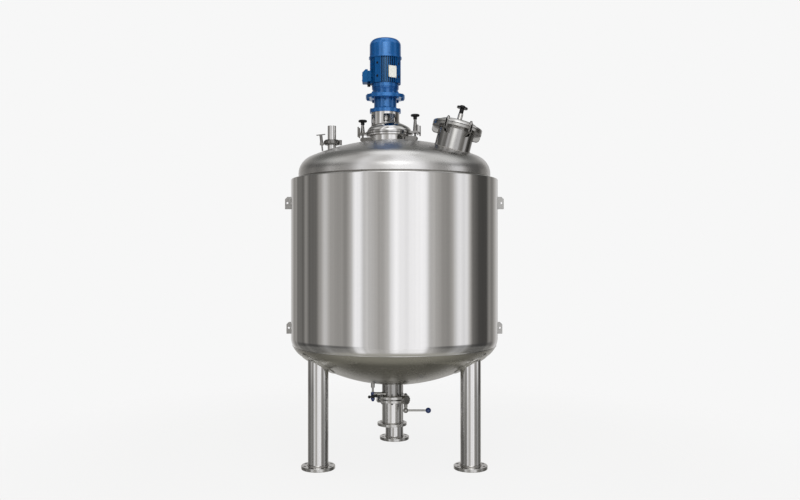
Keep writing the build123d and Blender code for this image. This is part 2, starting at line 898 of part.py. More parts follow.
def bolt_slots():
    """Open slots for the swing bolts, cut from the rim inwards."""
    for place in hatch_bolt_places:
        angle = hatch_step * place
        with Locations(polar(hatch_bolt_reach, angle)):
            Circle(hatch_slot, mode=Mode.SUBTRACT)
        middle = polar(hatch_bolt_reach + hatch_flange_radius / 2, angle)
        with Locations(Location(middle, angle)):
            Rectangle(hatch_flange_radius, 2 * hatch_slot, mode=Mode.SUBTRACT)


with BuildPart() as hatch_flange:
    with BuildSketch(hatch_plane.offset(hatch_neck_height)):
        Circle(hatch_flange_radius)
        Circle(hatch_bore_radius, mode=Mode.SUBTRACT)
        bolt_slots()
    extrude(amount=hatch_flange_thickness)
    with BuildSketch(hatch_plane.offset(hatch_flange_top)):
        Circle(hatch_radius + hatch_gasket_thickness)
        Circle(hatch_bore_radius, mode=Mode.SUBTRACT)
    extrude(amount=hatch_gasket_thickness)
save(hatch_flange.part, "hatch_flange")

hatch_lid_dish = Dish(
    hatch_flange_radius - hatch_lid_shoulder_width,
    hatch_lid_knuckle_radius,
    hatch_lid_crown_radius,
    0,
    1,
)
lid_plane = hatch_plane.offset(hatch_lid_top)
lid_side = Plane(origin=lid_plane.origin, x_dir=lid_plane.x_dir, z_dir=-lid_plane.y_dir)
hatch_crown = dish_height(hatch_lid_dish, 0)
with BuildPart() as hatch_lid:
    with BuildSketch(hatch_plane.offset(hatch_lid_bottom)):
        Circle(hatch_flange_radius)
        bolt_slots()
    extrude(amount=hatch_lid_thickness)
    with BuildSketch(lid_side):
        with BuildLine():
            knuckle_arc(hatch_lid_dish, 0, quarter - joint_angle(hatch_lid_dish))
            crown_arc(hatch_lid_dish)
            Polyline((0, hatch_crown), (0, 0), (hatch_lid_dish.radius, 0))
        make_face()
    revolve(axis=Axis(lid_plane.origin, lid_plane.z_dir))
    with BuildSketch(lid_plane):
        Circle(hatch_boss_radius)
    extrude(amount=hatch_crown + hatch_boss_height)
save(hatch_lid.part, "hatch_lid")

hatch_boss_top = hatch_lid_top + hatch_crown + hatch_boss_height
hatch_knob_bottom = hatch_boss_top + hatch_knob_hub_height
hatch_knob_top = hatch_knob_bottom + hatch_knob_thickness
with BuildPart() as hatch_knob:
    with BuildSketch(hatch_plane.offset(hatch_boss_top)):
        Circle(hatch_knob_hub_radius)
    extrude(amount=hatch_knob_hub_height)
    with BuildSketch(hatch_plane.offset(hatch_knob_bottom)):
        Circle(hatch_knob_radius)
        with PolarLocations(hatch_knob_radius + hatch_knob_notch_radius / 2, hatch_knob_notch_count):
            Circle(hatch_knob_notch_radius, mode=Mode.SUBTRACT)
    extrude(amount=hatch_knob_rim_height)
    with BuildSketch(hatch_plane.offset(hatch_knob_bottom + hatch_knob_rim_height)):
        Circle(hatch_knob_radius - hatch_knob_notch_radius)
    with BuildSketch(hatch_plane.offset(hatch_knob_top)):
        Circle(hatch_knob_hub_radius)
    loft()
save(hatch_knob.part, "hatch_knob")

hatch_nut_top = hatch_lid_top + hatch_nut_height
hatch_eye_height = hatch_neck_height - hatch_eye_drop


def radial_plane(angle, reach, height, shift=0):
    """Plane of the hand hole's axis and one radius, at a reach, a height and a sideways shift."""
    x, y = polar(reach, angle)
    across_x, across_y = polar(shift, angle + 90)
    a = radians(angle)
    return hatch_plane * Plane(
        origin=(x + across_x, y + across_y, height),
        x_dir=(cos(a), sin(a), 0),
        z_dir=(sin(a), -cos(a), 0),
    )


with BuildPart() as hatch_bolts:
    for place in hatch_bolt_places:
        angle = hatch_step * place
        spot = polar(hatch_bolt_reach, angle)
        with BuildSketch(hatch_plane.offset(hatch_eye_height)):
            with Locations(spot):
                Circle(hatch_bolt_radius)
        extrude(amount=hatch_nut_top - hatch_eye_height)
        with BuildSketch(hatch_plane.offset(hatch_lid_top)):
            with Locations(spot):
                RegularPolygon(hatch_nut_radius, 6)
        extrude(amount=hatch_nut_height)
        pull_ring_height = hatch_nut_top + hatch_ring_radius / 2
        with BuildSketch(radial_plane(angle + 90, 0, pull_ring_height, -hatch_bolt_reach)):
            Circle(hatch_ring_radius)
            Circle(hatch_ring_hole_radius, mode=Mode.SUBTRACT)
        extrude(amount=hatch_bolt_radius / 2, both=True)
        with BuildSketch(radial_plane(angle, hatch_bolt_reach, hatch_eye_height)):
            Circle(hatch_eye_radius)
        extrude(amount=hatch_ear_gap / 2 - swing_side_clearance, both=True)
save(hatch_bolts.part, "hatch_bolts")

with BuildPart() as hatch_ears:
    for place in range(hatch_place_count):
        for side in (-1, 1):
            shift = side * (hatch_ear_gap + hatch_ear_thickness) / 2
            ear_outer = hatch_flange_radius - hatch_ear_thickness / 2
            with BuildSketch(radial_plane(hatch_step * place, 0, hatch_neck_height, shift)):
                with BuildLine():
                    Polyline(
                        (ear_outer, -hatch_ear_drop + hatch_ear_corner_radius),
                        (ear_outer, 0),
                        (0, 0),
                        (0, -hatch_ear_drop),
                        (ear_outer - hatch_ear_corner_radius, -hatch_ear_drop),
                    )
                    RadiusArc(
                        (ear_outer - hatch_ear_corner_radius, -hatch_ear_drop),
                        (ear_outer, -hatch_ear_drop + hatch_ear_corner_radius),
                        -hatch_ear_corner_radius,
                    )
                make_face()
            extrude(amount=hatch_ear_thickness / 2, both=True)
    with BuildSketch(hatch_plane):
        Circle(hatch_radius)
    extrude(amount=hatch_neck_height, mode=Mode.SUBTRACT)
save(hatch_ears.part, "hatch_ears")


# Vent nozzle: stub, pipe, clamp and the clamp's tilted wing screw
ferrule_radius = vent_radius + ferrule_width
vent_clamp_radius = vent_radius + vent_clamp_width
with BuildPart() as vent_stub:
    with BuildSketch(level(top_tangent, vent_spot)):
        Circle(vent_radius)
    extrude(amount=vent_joint - top_tangent)
    with BuildSketch(level(vent_joint - ferrule_thickness, vent_spot)):
        Circle(ferrule_radius)
    extrude(amount=ferrule_thickness)
    add(top_core, mode=Mode.SUBTRACT)
    with BuildSketch(level(top_tangent, vent_spot)):
        Circle(vent_bore_radius)
    extrude(amount=vent_joint - top_tangent, mode=Mode.SUBTRACT)
save(vent_stub.part, "vent_stub")

with BuildPart() as vent_pipe:
    with BuildSketch(level(vent_joint, vent_spot)):
        Circle(vent_radius)
    extrude(amount=vent_pipe_height)
    with BuildSketch(level(vent_joint, vent_spot)):
        Circle(ferrule_radius)
    extrude(amount=ferrule_thickness)
    with BuildSketch(level(vent_joint, vent_spot)):
        Circle(vent_bore_radius)
    extrude(amount=vent_pipe_height, mode=Mode.SUBTRACT)
save(vent_pipe.part, "vent_pipe")

vent_clamp_bottom = vent_joint - vent_clamp_height / 2
with BuildPart() as vent_clamp:
    with BuildSketch(upright(0, (*vent_spot, vent_joint))):
        with BuildLine():
            Polyline(
                (vent_radius + vent_clamp_clearance, -vent_clamp_height / 2),
                (vent_clamp_radius - vent_clamp_flare_height, -vent_clamp_height / 2),
                (vent_clamp_radius, vent_clamp_flare_height - vent_clamp_height / 2),
                (vent_clamp_radius, vent_clamp_height / 2 - vent_clamp_flare_height),
                (vent_clamp_radius - vent_clamp_flare_height, vent_clamp_height / 2),
                (vent_radius + vent_clamp_clearance, vent_clamp_height / 2),
                close=True,
            )
        make_face()
    revolve(axis=Axis((*vent_spot, 0), (0, 0, 1)))
    with BuildSketch(level(vent_clamp_bottom, vent_spot)):
        with Locations((vent_clamp_radius - vent_clamp_flare_height + vent_hinge_length, 0)):
            Rectangle(2 * vent_hinge_length, vent_hinge_width)
            Circle(vent_hinge_width / 2, mode=Mode.ADD)
    extrude(amount=vent_clamp_height)
    with BuildSketch(level(vent_joint - ferrule_thickness - weld_gap, vent_spot)):
        Circle(ferrule_radius + weld_gap)
    extrude(amount=2 * (ferrule_thickness + weld_gap), mode=Mode.SUBTRACT)
    with BuildSketch(level(vent_clamp_bottom, vent_spot)):
        Circle(vent_radius + vent_clamp_clearance)
    extrude(amount=vent_clamp_height, mode=Mode.SUBTRACT)
save(vent_clamp.part, "vent_clamp")

screw_reach = vent_clamp_radius + vent_screw_gap
lean = radians(vent_screw_tilt)
screw_plane = Plane(
    origin=(vent_spot[0] - screw_reach, vent_spot[1], vent_joint),
    x_dir=(cos(lean), 0, sin(lean)),
    z_dir=(-sin(lean), 0, cos(lean)),
)
with BuildPart() as vent_screw:
    with BuildSketch(screw_plane.offset(-vent_screw_drop)):
        Circle(vent_screw_radius)
    extrude(amount=vent_screw_drop + vent_nut_height)
    with BuildSketch(screw_plane):
        Circle(vent_nut_radius)
    extrude(amount=vent_nut_height)
    with BuildSketch(screw_plane.offset(vent_nut_height)):
        SlotOverall(vent_bar_length, 2 * vent_bar_radius)
    extrude(amount=vent_bar_radius)
    with BuildSketch(level(vent_joint - vent_clamp_height / 2, (vent_spot[0] - screw_reach, vent_spot[1]))):
        with Locations(((screw_reach - vent_jaw_length) / 2, 0)):
            Rectangle(screw_reach + vent_jaw_length, vent_jaw_width)
    extrude(amount=vent_clamp_height / 2)
    with BuildSketch(level(vent_joint - vent_clamp_height, vent_spot)):
        Circle(vent_clamp_radius)
    extrude(amount=2 * vent_clamp_height, mode=Mode.SUBTRACT)
save(vent_screw.part, "vent_screw")


# Side lugs, each a plate on a curved pad
pad_arc = lug_pad_width / jacket_radius / pi * 180
with BuildPart() as side_lugs:
    for bottom, height, reach in (
        (jacket_top - upper_lug_drop, upper_lug_height, upper_lug_reach),
        (jacket_tangent_height + lower_lug_rise, lower_lug_height, lower_lug_reach),
    ):
        for angle in (0, 180):
            with BuildSketch(upright(angle - pad_arc / 2)):
                with Locations((jacket_radius + lug_pad_thickness / 2, bottom + height / 2)):
                    Rectangle(lug_pad_thickness, height)
            revolve(axis=Axis.Z, revolution_arc=pad_arc)
            root = jacket_radius + lug_pad_thickness / 2
            edge = jacket_radius + reach
            with BuildSketch(upright(angle)):
                with BuildLine():
                    Polyline(
                        (root, bottom),
                        (edge, bottom),
                        (edge, bottom + height - lug_corner_width),
                        (edge - lug_corner_width, bottom + height),
                        (root, bottom + height),
                        close=True,
                    )
                make_face()
                with Locations((edge - lug_corner_width, bottom + height / 2)):
                    Circle(lug_hole_radius, mode=Mode.SUBTRACT)
            extrude(amount=lug_thickness / 2, both=True)
save(side_lugs.part, "side_lugs")


# Bottom outlet: stub, valve with its closed disc, pipe and flange
with BuildPart() as outlet_stub:
    with BuildSketch(level(upper_ring_top, outlet_spot)):
        Circle(outlet_radius)
        Circle(outlet_bore_radius, mode=Mode.SUBTRACT)
    extrude(amount=jacket_tangent_height - upper_ring_top)
    add(vessel_core, mode=Mode.SUBTRACT)
save(outlet_stub.part, "outlet_stub")

valve_waist_radius = outlet_radius + valve_waist_width
with BuildPart() as outlet_valve:
    with BuildSketch(upright(0, (outlet_offset, 0, 0))):
        with BuildLine():
            Polyline(
                (outlet_bore_radius, lower_ring_bottom),
                (outlet_ring_radius, lower_ring_bottom),
                (outlet_ring_radius, lower_ring_top),
                (valve_waist_radius, lower_ring_top),
                (valve_waist_radius, upper_ring_bottom),
                (outlet_ring_radius, upper_ring_bottom),
                (outlet_ring_radius, upper_ring_top),
                (outlet_bore_radius, upper_ring_top),
                (outlet_bore_radius, valve_middle + valve_disc_thickness / 2),
                (0, valve_middle + valve_disc_thickness / 2),
                (0, valve_middle - valve_disc_thickness / 2),
                (outlet_bore_radius, valve_middle - valve_disc_thickness / 2),
                close=True,
            )
        make_face()
    revolve(axis=Axis((outlet_offset, 0, 0), (0, 0, 1)))
save(outlet_valve.part, "outlet_valve")

with BuildPart() as outlet_pipe:
    with BuildSketch(level(outlet_flange_top, outlet_spot)):
        Circle(outlet_radius)
        Circle(outlet_bore_radius, mode=Mode.SUBTRACT)
    extrude(amount=outlet_pipe_length)
save(outlet_pipe.part, "outlet_pipe")

outlet_hole_reach = outlet_flange_radius - outlet_hole_inset
with BuildPart() as outlet_flange:
    with BuildSketch(level(outlet_flange_bottom, outlet_spot)):
        Circle(outlet_flange_radius)
        Circle(outlet_bore_radius, mode=Mode.SUBTRACT)
        with PolarLocations(outlet_hole_reach, outlet_hole_count, 180 / outlet_hole_count):
            Circle(outlet_hole_radius, mode=Mode.SUBTRACT)
    extrude(amount=outlet_flange_thickness)
save(outlet_flange.part, "outlet_flange")


# Drive at the valve's front right: head, notched disc and the gland that guides the stem
drive_reach = outlet_ring_radius + drive_gap
drive_spot_x, drive_spot_y = polar(drive_reach, drive_angle, outlet_offset)
stem_spot = (drive_spot_x, drive_spot_y)
disc_start = outlet_ring_radius + drive_head_width
disc_spot = polar(disc_start, drive_angle, outlet_offset)
gland_bottom = valve_middle - drive_disc_radius - drive_nut_height
with BuildPart() as valve_drive:
    with BuildSketch(facing(drive_angle, (*outlet_spot, valve_middle))):
        Circle(drive_head_radius)
    extrude(amount=disc_start)
    with BuildSketch(facing(drive_angle, (*disc_spot, valve_middle))):
        Circle(drive_disc_radius)
        with PolarLocations(drive_disc_radius, drive_notch_count):
            Circle(drive_notch_radius, mode=Mode.SUBTRACT)
    extrude(amount=drive_disc_thickness)
    with BuildSketch(level(gland_bottom, stem_spot, drive_angle)):
        RegularPolygon(drive_nut_radius, 6)
    extrude(amount=valve_middle - gland_bottom)
    with BuildSketch(level(gland_bottom, stem_spot)):
        Circle(lever_stem_radius + pin_clearance)
    extrude(amount=drive_nut_height, mode=Mode.SUBTRACT)
    with BuildSketch(level(gland_bottom, outlet_spot)):
        Circle(outlet_ring_radius)
    extrude(amount=2 * (valve_middle - gland_bottom), mode=Mode.SUBTRACT)
save(valve_drive.part, "valve_drive")

lever_height = gland_bottom - lever_gap - lever_hub_radius
lever_tip = (drive_spot_x + lever_length, drive_spot_y, lever_height)
rod_plane = Plane.YZ.offset(drive_spot_x)
with BuildPart() as outlet_lever:
    with Locations((*stem_spot, lever_height)):
        Sphere(lever_hub_radius)
    with BuildSketch(level(lever_height, stem_spot)):
        Circle(lever_stem_radius)
    extrude(amount=gland_bottom + drive_nut_height - lever_stem_clearance - lever_height)
    with BuildSketch(rod_plane):
        with Locations((drive_spot_y, lever_height)):
            Circle(lever_rod_radius)
    extrude(amount=lever_length)
save(outlet_lever.part, "outlet_lever")

with BuildPart() as lever_ball:
    with Locations(lever_tip):
        Sphere(lever_ball_radius)
    with BuildSketch(rod_plane):
        with Locations((drive_spot_y, lever_height)):
            Circle(lever_rod_radius)
    extrude(amount=lever_length, mode=Mode.SUBTRACT)
save(lever_ball.part, "lever_ball")


# Sampling valve: nipple on the head, body with a rounded foot, line to the valve and wing handle
sample_x = outlet_offset - outlet_ring_radius - sample_gap
sample_spot = (sample_x, sample_offset)
sample_reach = sqrt(sample_x**2 + sample_offset**2)
sample_nipple_bottom = dish_height(bottom_dish, sample_reach) - sample_nipple_length
sample_body_top = sample_nipple_bottom - sample_tube_length
sample_body_bottom = sample_body_top - sample_body_height
with BuildPart() as sample_nipple:
    with BuildSketch(level(sample_nipple_bottom, sample_spot)):
        Circle(sample_nipple_radius)
    extrude(amount=jacket_tangent_height - sample_nipple_bottom)
    with BuildSketch(level(sample_body_top, sample_spot)):
        Circle(sample_tube_radius)
    extrude(amount=sample_tube_length)
    add(bottom_core, mode=Mode.SUBTRACT)
save(sample_nipple.part, "sample_nipple")

sample_stem_height = sample_body_top - sample_stem_drop
collar_front = sample_body_radius + sample_collar_length
stem_plane = Plane.XZ.offset(-sample_offset)
with BuildPart() as sample_valve:
    with BuildSketch(level(sample_body_bottom + sample_body_foot_height, sample_spot)):
        Circle(sample_body_radius)
    extrude(amount=sample_body_height - sample_body_foot_height)
    with BuildSketch(level(sample_body_bottom + sample_body_foot_height, sample_spot)):
        Circle(sample_body_radius)
    with BuildSketch(level(sample_body_bottom, sample_spot)):
        Circle(sample_tube_radius)
    loft()
    with BuildSketch(stem_plane):
        with Locations((sample_x, sample_stem_height)):
            Circle(sample_stem_radius + sample_collar_width)
    extrude(amount=collar_front)
    with BuildSketch(stem_plane):
        with Locations((sample_x, sample_stem_height)):
            Circle(sample_stem_radius + pin_clearance)
    extrude(amount=collar_front, mode=Mode.SUBTRACT)
save(sample_valve.part, "sample_valve")

sample_line_height = head_bottom - sample_line_drop
with BuildPart() as valve_boss:
    with BuildSketch(Plane.YZ.offset(outlet_offset)):
        with Locations((sample_offset, sample_line_height)):
            Circle(sample_line_radius)
    extrude(amount=sample_x - outlet_offset)
    with BuildSketch(level(sample_line_height - sample_line_radius, outlet_spot)):
        Circle(outlet_radius)
    extrude(amount=2 * sample_line_radius, mode=Mode.SUBTRACT)
    with BuildSketch(level(upper_ring_bottom, outlet_spot)):
        Circle(outlet_ring_radius)
    extrude(amount=outlet_ring_thickness, mode=Mode.SUBTRACT)
    with BuildSketch(level(sample_body_bottom, sample_spot)):
        Circle(sample_body_radius)
        with Locations((-sample_body_radius, 0)):
            Rectangle(2 * sample_body_radius, 2 * sample_line_radius)
    extrude(amount=sample_body_height, mode=Mode.SUBTRACT)
save(valve_boss.part, "valve_boss")

wing_end = (sample_wing_span - 2 * sample_wing_radius) / 2
with BuildPart() as sample_handle:
    with BuildSketch(stem_plane.offset(pin_clearance)):
        with Locations((sample_x, sample_stem_height)):
            Circle(sample_stem_radius)
    extrude(amount=collar_front + sample_wing_gap)
    with BuildSketch(stem_plane.offset(collar_front + sample_wing_gap)):
        with Locations(Location((sample_x, sample_stem_height), sample_wing_tilt)):
            Circle(sample_wing_radius)
            Rectangle(2 * wing_end, sample_wing_waist_width)
            with Locations((-wing_end, 0), (wing_end, 0)):
                Circle(sample_wing_radius)
    extrude(amount=sample_wing_thickness)
save(sample_handle.part, "sample_handle")
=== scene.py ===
import json
import math

import bmesh
import bpy
from mathutils import Matrix, Vector

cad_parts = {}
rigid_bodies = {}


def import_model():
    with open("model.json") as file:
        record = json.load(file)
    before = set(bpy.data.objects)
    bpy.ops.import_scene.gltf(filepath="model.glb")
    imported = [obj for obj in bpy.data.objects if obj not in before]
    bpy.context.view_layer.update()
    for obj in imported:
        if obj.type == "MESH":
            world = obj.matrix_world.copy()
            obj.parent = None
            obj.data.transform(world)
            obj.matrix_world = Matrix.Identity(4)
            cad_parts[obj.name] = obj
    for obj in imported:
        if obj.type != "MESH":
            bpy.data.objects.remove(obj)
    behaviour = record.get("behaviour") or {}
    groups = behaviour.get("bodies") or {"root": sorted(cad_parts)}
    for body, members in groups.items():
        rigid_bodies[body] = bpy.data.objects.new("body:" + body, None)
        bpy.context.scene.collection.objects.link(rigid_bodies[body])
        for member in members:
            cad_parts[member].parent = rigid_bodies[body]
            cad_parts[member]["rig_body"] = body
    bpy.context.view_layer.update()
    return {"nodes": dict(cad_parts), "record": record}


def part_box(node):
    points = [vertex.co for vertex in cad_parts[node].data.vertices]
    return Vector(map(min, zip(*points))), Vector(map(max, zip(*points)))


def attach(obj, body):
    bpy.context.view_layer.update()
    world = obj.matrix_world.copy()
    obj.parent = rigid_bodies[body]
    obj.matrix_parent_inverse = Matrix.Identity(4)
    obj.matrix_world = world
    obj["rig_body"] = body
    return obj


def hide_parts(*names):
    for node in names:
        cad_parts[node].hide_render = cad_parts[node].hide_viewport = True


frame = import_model()

# Camera and picture, in the photograph's 800 by 500 pixel frame
PICTURE_WIDTH = 800
PICTURE_HEIGHT = 500
FOCAL_PIXELS = 828
HORIZON_Y = 252
AXIS_X = 394.4
CAMERA_DISTANCE = 5.65
CAMERA_HEIGHT = 1.402
SENSOR_WIDTH = 36

# Heads: outer radius, knuckle radius, crown radius, height of the tangent line, and up or down
BOTTOM_DISH = (0.700, 0.147, 1.106, 0.832, -1)
TOP_DISH = (0.650, 0.120, 1.450, 1.928, 1)
JACKET_TOP = 1.889
JACKET_CORNER = 0.005
JACKET_GAP = 0.0005
WALL_MARGIN = 0.003
DOME_MARGIN = 0.002
HEM_HEIGHT = 0.059
SHEET = 0.003
HEAD_SHEET = 0.004
DOME_SHEET = 0.005
ROUND = 288  # segments round the large pieces

# Axes and sizes of the neck, the drive, the vent, the outlet and the leaning hand hole
NECK_X = -0.034
DRIVE_X = -0.062
OUTLET_X = -0.016
VENT = (-0.42195, -0.06005)
HATCH_REACH = 0.469
HATCH_ANGLE = math.radians(-36.7)
HATCH_TILT = math.radians(14.5)
HATCH_LEAN = math.radians(10)
NECK_RADIUS = 0.1325
HATCH_RADIUS = 0.117
HATCH_NECK_HEIGHT = 0.113
HATCH_FLANGE_THICKNESS = 0.017
VENT_RADIUS = 0.0285
OUTLET_RADIUS = 0.068
LANTERN_RADIUS = 0.096
LEG_COUNT = 3
LEG_PAD_RADIUS = 0.105
LEG_PAD_THICKNESS = 0.004
LEG_WALL = 0.004
LEG_SINK = 0.003
NECK_RING_THICKNESS = 0.013
LID_RIM_THICKNESS = 0.013
LID_OVERLAP = 0.004
LID_SHOULDER = 0.008
LID_KNUCKLE = 0.040
LID_CROWN = 0.240

# Weld beads by radius, and how far a bead on a flat face is lifted from it
FOOT_BEAD = 0.0045
NOZZLE_BEAD = 0.004
LANTERN_BEAD = 0.0035
FLANGE_BEAD = 0.003
BEAD_LIFT = 0.001

# The fillet weld between the jacket's top and the dome's straight flange, a real weld whose dark
# tone is partly painted shade of the joint
RIM_WELD_WIDTH = 0.009
RIM_WELD_HEIGHT = 0.016
RIM_WELD_EASE = 0.0015

# Gaskets: the neck's lies across the joint of ring and lid, the hand hole's on its flange
NECK_GASKET_INSET = 0.006
NECK_GASKET_PROUD = 0.002
NECK_GASKET_HALF = 0.003
NECK_GASKET_EASE = 0.0008
HATCH_GASKET_INNER = 0.0035
HATCH_GASKET_OUTER = 0.030
HATCH_GASKET_THICKNESS = 0.003
HATCH_GASKET_EASE = 0.0004

# Bolt circles of the drive and the outlet, and the thickness of what they hold
BOLT_COUNT = 8
GEAR_BOLT_CIRCLE = 0.0955
MOTOR_BOLT_CIRCLE = 0.117
OUTLET_BOLT_CIRCLE = 0.093
GEAR_FLANGE = 0.024
BELL_FLANGE = 0.024
OUTLET_RING = 0.016

# Studs: radius and height of the head, then radius and length of the shank where one shows
GEAR_STUD = (0.0075, 0.009)
MOTOR_HEAD = (0.009, 0.011)
MOTOR_NUT = (0.009, 0.010, 0.005, 0.004)
OUTLET_UPPER = (0.0085, 0.009, 0.005, OUTLET_RING + 0.004)
OUTLET_LOWER = (0.0085, 0.009, 0.005, OUTLET_RING + 0.0045)
WASHER = 0.0016

# The bare nameplate with its rivets
PLATE_ANGLE = math.radians(-62)
PLATE_WIDTH = 0.058
PLATE_HEIGHT = 0.078
PLATE_THICKNESS = 0.0018
PLATE_CORNER = 0.004
PLATE_SINK = 0.0005
PLATE_DROP = 0.016
RIVET_RADIUS = 0.0022
RIVET_HEIGHT = 0.0012
RIVET_INSET = 0.006

# Plugs of the motor's pads, and screws of the fan cover and the terminal box
PLUG_RADIUS = 0.009
PLUG_HEIGHT = 0.0022
PLUG_SINK = 0.001
PLUG_OFFSET = 0.044
PLUG_START = -120
COVER_SCREW_RADIUS = 0.005
COVER_SCREW_HEIGHT = 0.003
COVER_SCREW_SINK = 0.0065
COVER_SCREW_LEVEL = 0.024
COVER_SCREW_START = -75
BOX_SCREW_RADIUS = 0.004
BOX_SCREW_SINK = 0.001
BOX_SCREW_HEIGHT = 0.002
BOX_SCREW_OFFSET = 0.034
BOX_SCREW_LEVELS = (0.036, 0.070)
GLAND_REACH = 0.007
GLAND_DROP = 0.001

# Cable gland: radius, low end and high end of its sleeve and its nut
GLAND_SLEEVE = (0.0105, 0, 0.013)
GLAND_NUT = (0.0125, 0.012, 0.021)

# Easing of the CAD pieces' edges, and the angles from which an edge counts as sharp
MERGE_DISTANCE = 0.00002
FLAT_ANGLE = 0.5
EASE = 0.0008
EASE_SEGMENTS = 2
SHARP = 35
FINE_SHARP = 25


camera_data = bpy.data.cameras.new("camera")
camera_data.sensor_width = SENSOR_WIDTH
camera_data.lens = FOCAL_PIXELS / PICTURE_WIDTH * SENSOR_WIDTH
camera_data.shift_x = (PICTURE_WIDTH / 2 - AXIS_X) / PICTURE_WIDTH
camera_data.shift_y = (HORIZON_Y - PICTURE_HEIGHT / 2) / PICTURE_WIDTH
camera = bpy.data.objects.new("camera", camera_data)
camera.location = (0, -CAMERA_DISTANCE, CAMERA_HEIGHT)
camera.rotation_euler = (math.radians(90), 0, 0)
bpy.context.scene.collection.objects.link(camera)
bpy.context.scene.camera = camera


# Shader nodes
def new_material(name):
    material = bpy.data.materials.new(name)
    material.use_nodes = True
    return material, material.node_tree.nodes, material.node_tree.links


def math_node(nodes, links, operation, *values):
    node = nodes.new("ShaderNodeMath")
    node.operation = operation
    for socket, value in zip(node.inputs, values):
        if isinstance(value, (int, float)):
            socket.default_value = value
        else:
            links.new(value, socket)
    return node.outputs[0]


def remapped(nodes, links, value, span, result):
    """Value moved from one span to another with soft ends."""
    node = nodes.new("ShaderNodeMapRange")
    node.interpolation_type = "SMOOTHSTEP"
    node.inputs["From Min"].default_value, node.inputs["From Max"].default_value = span
    node.inputs["To Min"].default_value, node.inputs["To Max"].default_value = result
    links.new(value, node.inputs["Value"])
    return node.outputs[0]


def ramp_node(nodes, links, value, stops):
    node = nodes.new("ShaderNodeValToRGB")
    elements = node.color_ramp.elements
    elements[0].position, elements[0].color = stops[0][0], grey(stops[0][1])
    elements[1].position, elements[1].color = stops[-1][0], grey(stops[-1][1])
    for position, shade in stops[1:-1]:
        elements.new(position).color = grey(shade)
    links.new(value, node.inputs[0])
    return node.outputs[0]


def grey(shade):
    if isinstance(shade, (int, float)):
        return (shade, shade, shade, 1)
    return tuple(shade) + (1,)


def noise_node(nodes, links, vector, scale, detail=3, roughness=0.5):
    node = nodes.new("ShaderNodeTexNoise")
    node.inputs["Scale"].default_value = scale
    node.inputs["Detail"].default_value = detail
    node.inputs["Roughness"].default_value = roughness
    links.new(vector, node.inputs["Vector"])
    return node.outputs[0]


def scaled(nodes, links, vector, scale):
    node = nodes.new("ShaderNodeMapping")
    node.inputs["Scale"].default_value = scale
    links.new(vector, node.inputs["Vector"])
    return node.outputs[0]


def mixed(nodes, links, factor, a, b):
    node = nodes.new("ShaderNodeMix")
    node.data_type = "RGBA"
    links.new(factor, node.inputs[0])
    for socket, value in ((node.inputs[6], a), (node.inputs[7], b)):
        if isinstance(value, tuple):
            socket.default_value = grey(value)
        else:
            links.new(value, socket)
    return node.outputs[2]


def multiplied(nodes, links, a, b):
    node = nodes.new("ShaderNodeVectorMath")
    node.operation = "MULTIPLY"
    links.new(a, node.inputs[0])
    links.new(b, node.inputs[1])
    return node.outputs[0]


def bumped(nodes, links, height, strength, distance):
    node = nodes.new("ShaderNodeBump")
    node.inputs["Strength"].default_value = strength
    node.inputs["Distance"].default_value = distance
    links.new(height, node.inputs["Height"])
    return node.outputs[0]


def shades(tone, spread):
    darker = tuple(c * (1 - spread) for c in tone)
    lighter = tuple(min(1, c * (1 + spread)) for c in tone)
    return darker, lighter


# The part of a noise's range in which its tones change, and the depth of a full bump
SOFT_SPAN = (0.3, 0.7)
BUMP_DEPTH = 0.0003


def steel(name, tone, rough, grain_scale, smear_scale, bump, brushed=0.0, spread=0.06):
    """Fine grain and soft smears of tone and roughness.

    Round pieces are brushed round their axis, which draws each highlight out along it.
    """
    material, nodes, links = new_material(name)
    shader = nodes["Principled BSDF"]
    shader.inputs["Metallic"].default_value = 1
    place = nodes.new("ShaderNodeTexCoord").outputs["Object"]
    grain = noise_node(nodes, links, scaled(nodes, links, place, grain_scale), 1, 4, 0.65)
    smear = noise_node(nodes, links, scaled(nodes, links, place, smear_scale), 1, 3, 0.55)
    share = math_node(nodes, links, "MULTIPLY", grain, 0.35)
    blend = math_node(nodes, links, "MULTIPLY_ADD", smear, 0.65, share)
    darker, lighter = shades(tone, spread)
    colour = ramp_node(nodes, links, blend, tuple(zip(SOFT_SPAN, (darker, lighter))))
    links.new(colour, shader.inputs["Base Color"])
    links.new(remapped(nodes, links, blend, SOFT_SPAN, rough), shader.inputs["Roughness"])
    links.new(bumped(nodes, links, grain, bump, BUMP_DEPTH), shader.inputs["Normal"])
    if brushed:
        shader.inputs["Anisotropic"].default_value = brushed
        shader.inputs["Anisotropic Rotation"].default_value = 0.25
        tangent = nodes.new("ShaderNodeTangent")
        tangent.direction_type = "RADIAL"
        tangent.axis = "Z"
        links.new(tangent.outputs[0], shader.inputs["Tangent"])
    return material


def enamel(
    name,
    tone,
    roughness,
    coat,
    metallic=0.0,
    ior=1.5,
    sheen=(1, 1, 1),
    spread=0.12,
    bump_scale=900,
):
    """Paint, plastic or rubber, with an even tone and a fine uneven gloss."""
    material, nodes, links = new_material(name)
    shader = nodes["Principled BSDF"]
    shader.inputs["Metallic"].default_value = metallic
    shader.inputs["IOR"].default_value = ior
    shader.inputs["Specular Tint"].default_value = grey(sheen)
    shader.inputs["Coat Weight"].default_value = coat
    shader.inputs["Coat Roughness"].default_value = 0.06
    place = nodes.new("ShaderNodeTexCoord").outputs["Object"]
    smear = noise_node(nodes, links, place, 9, 3)
    darker, lighter = shades(tone, spread)
    colour = ramp_node(nodes, links, smear, tuple(zip(SOFT_SPAN, (darker, lighter))))
    links.new(colour, shader.inputs["Base Color"])
    rough = remapped(nodes, links, smear, SOFT_SPAN, (roughness * 0.8, roughness * 1.25))
    links.new(rough, shader.inputs["Roughness"])
    fine = noise_node(nodes, links, place, bump_scale, 2)
    links.new(bumped(nodes, links, fine, 0.07, BUMP_DEPTH), shader.inputs["Normal"])
    return material


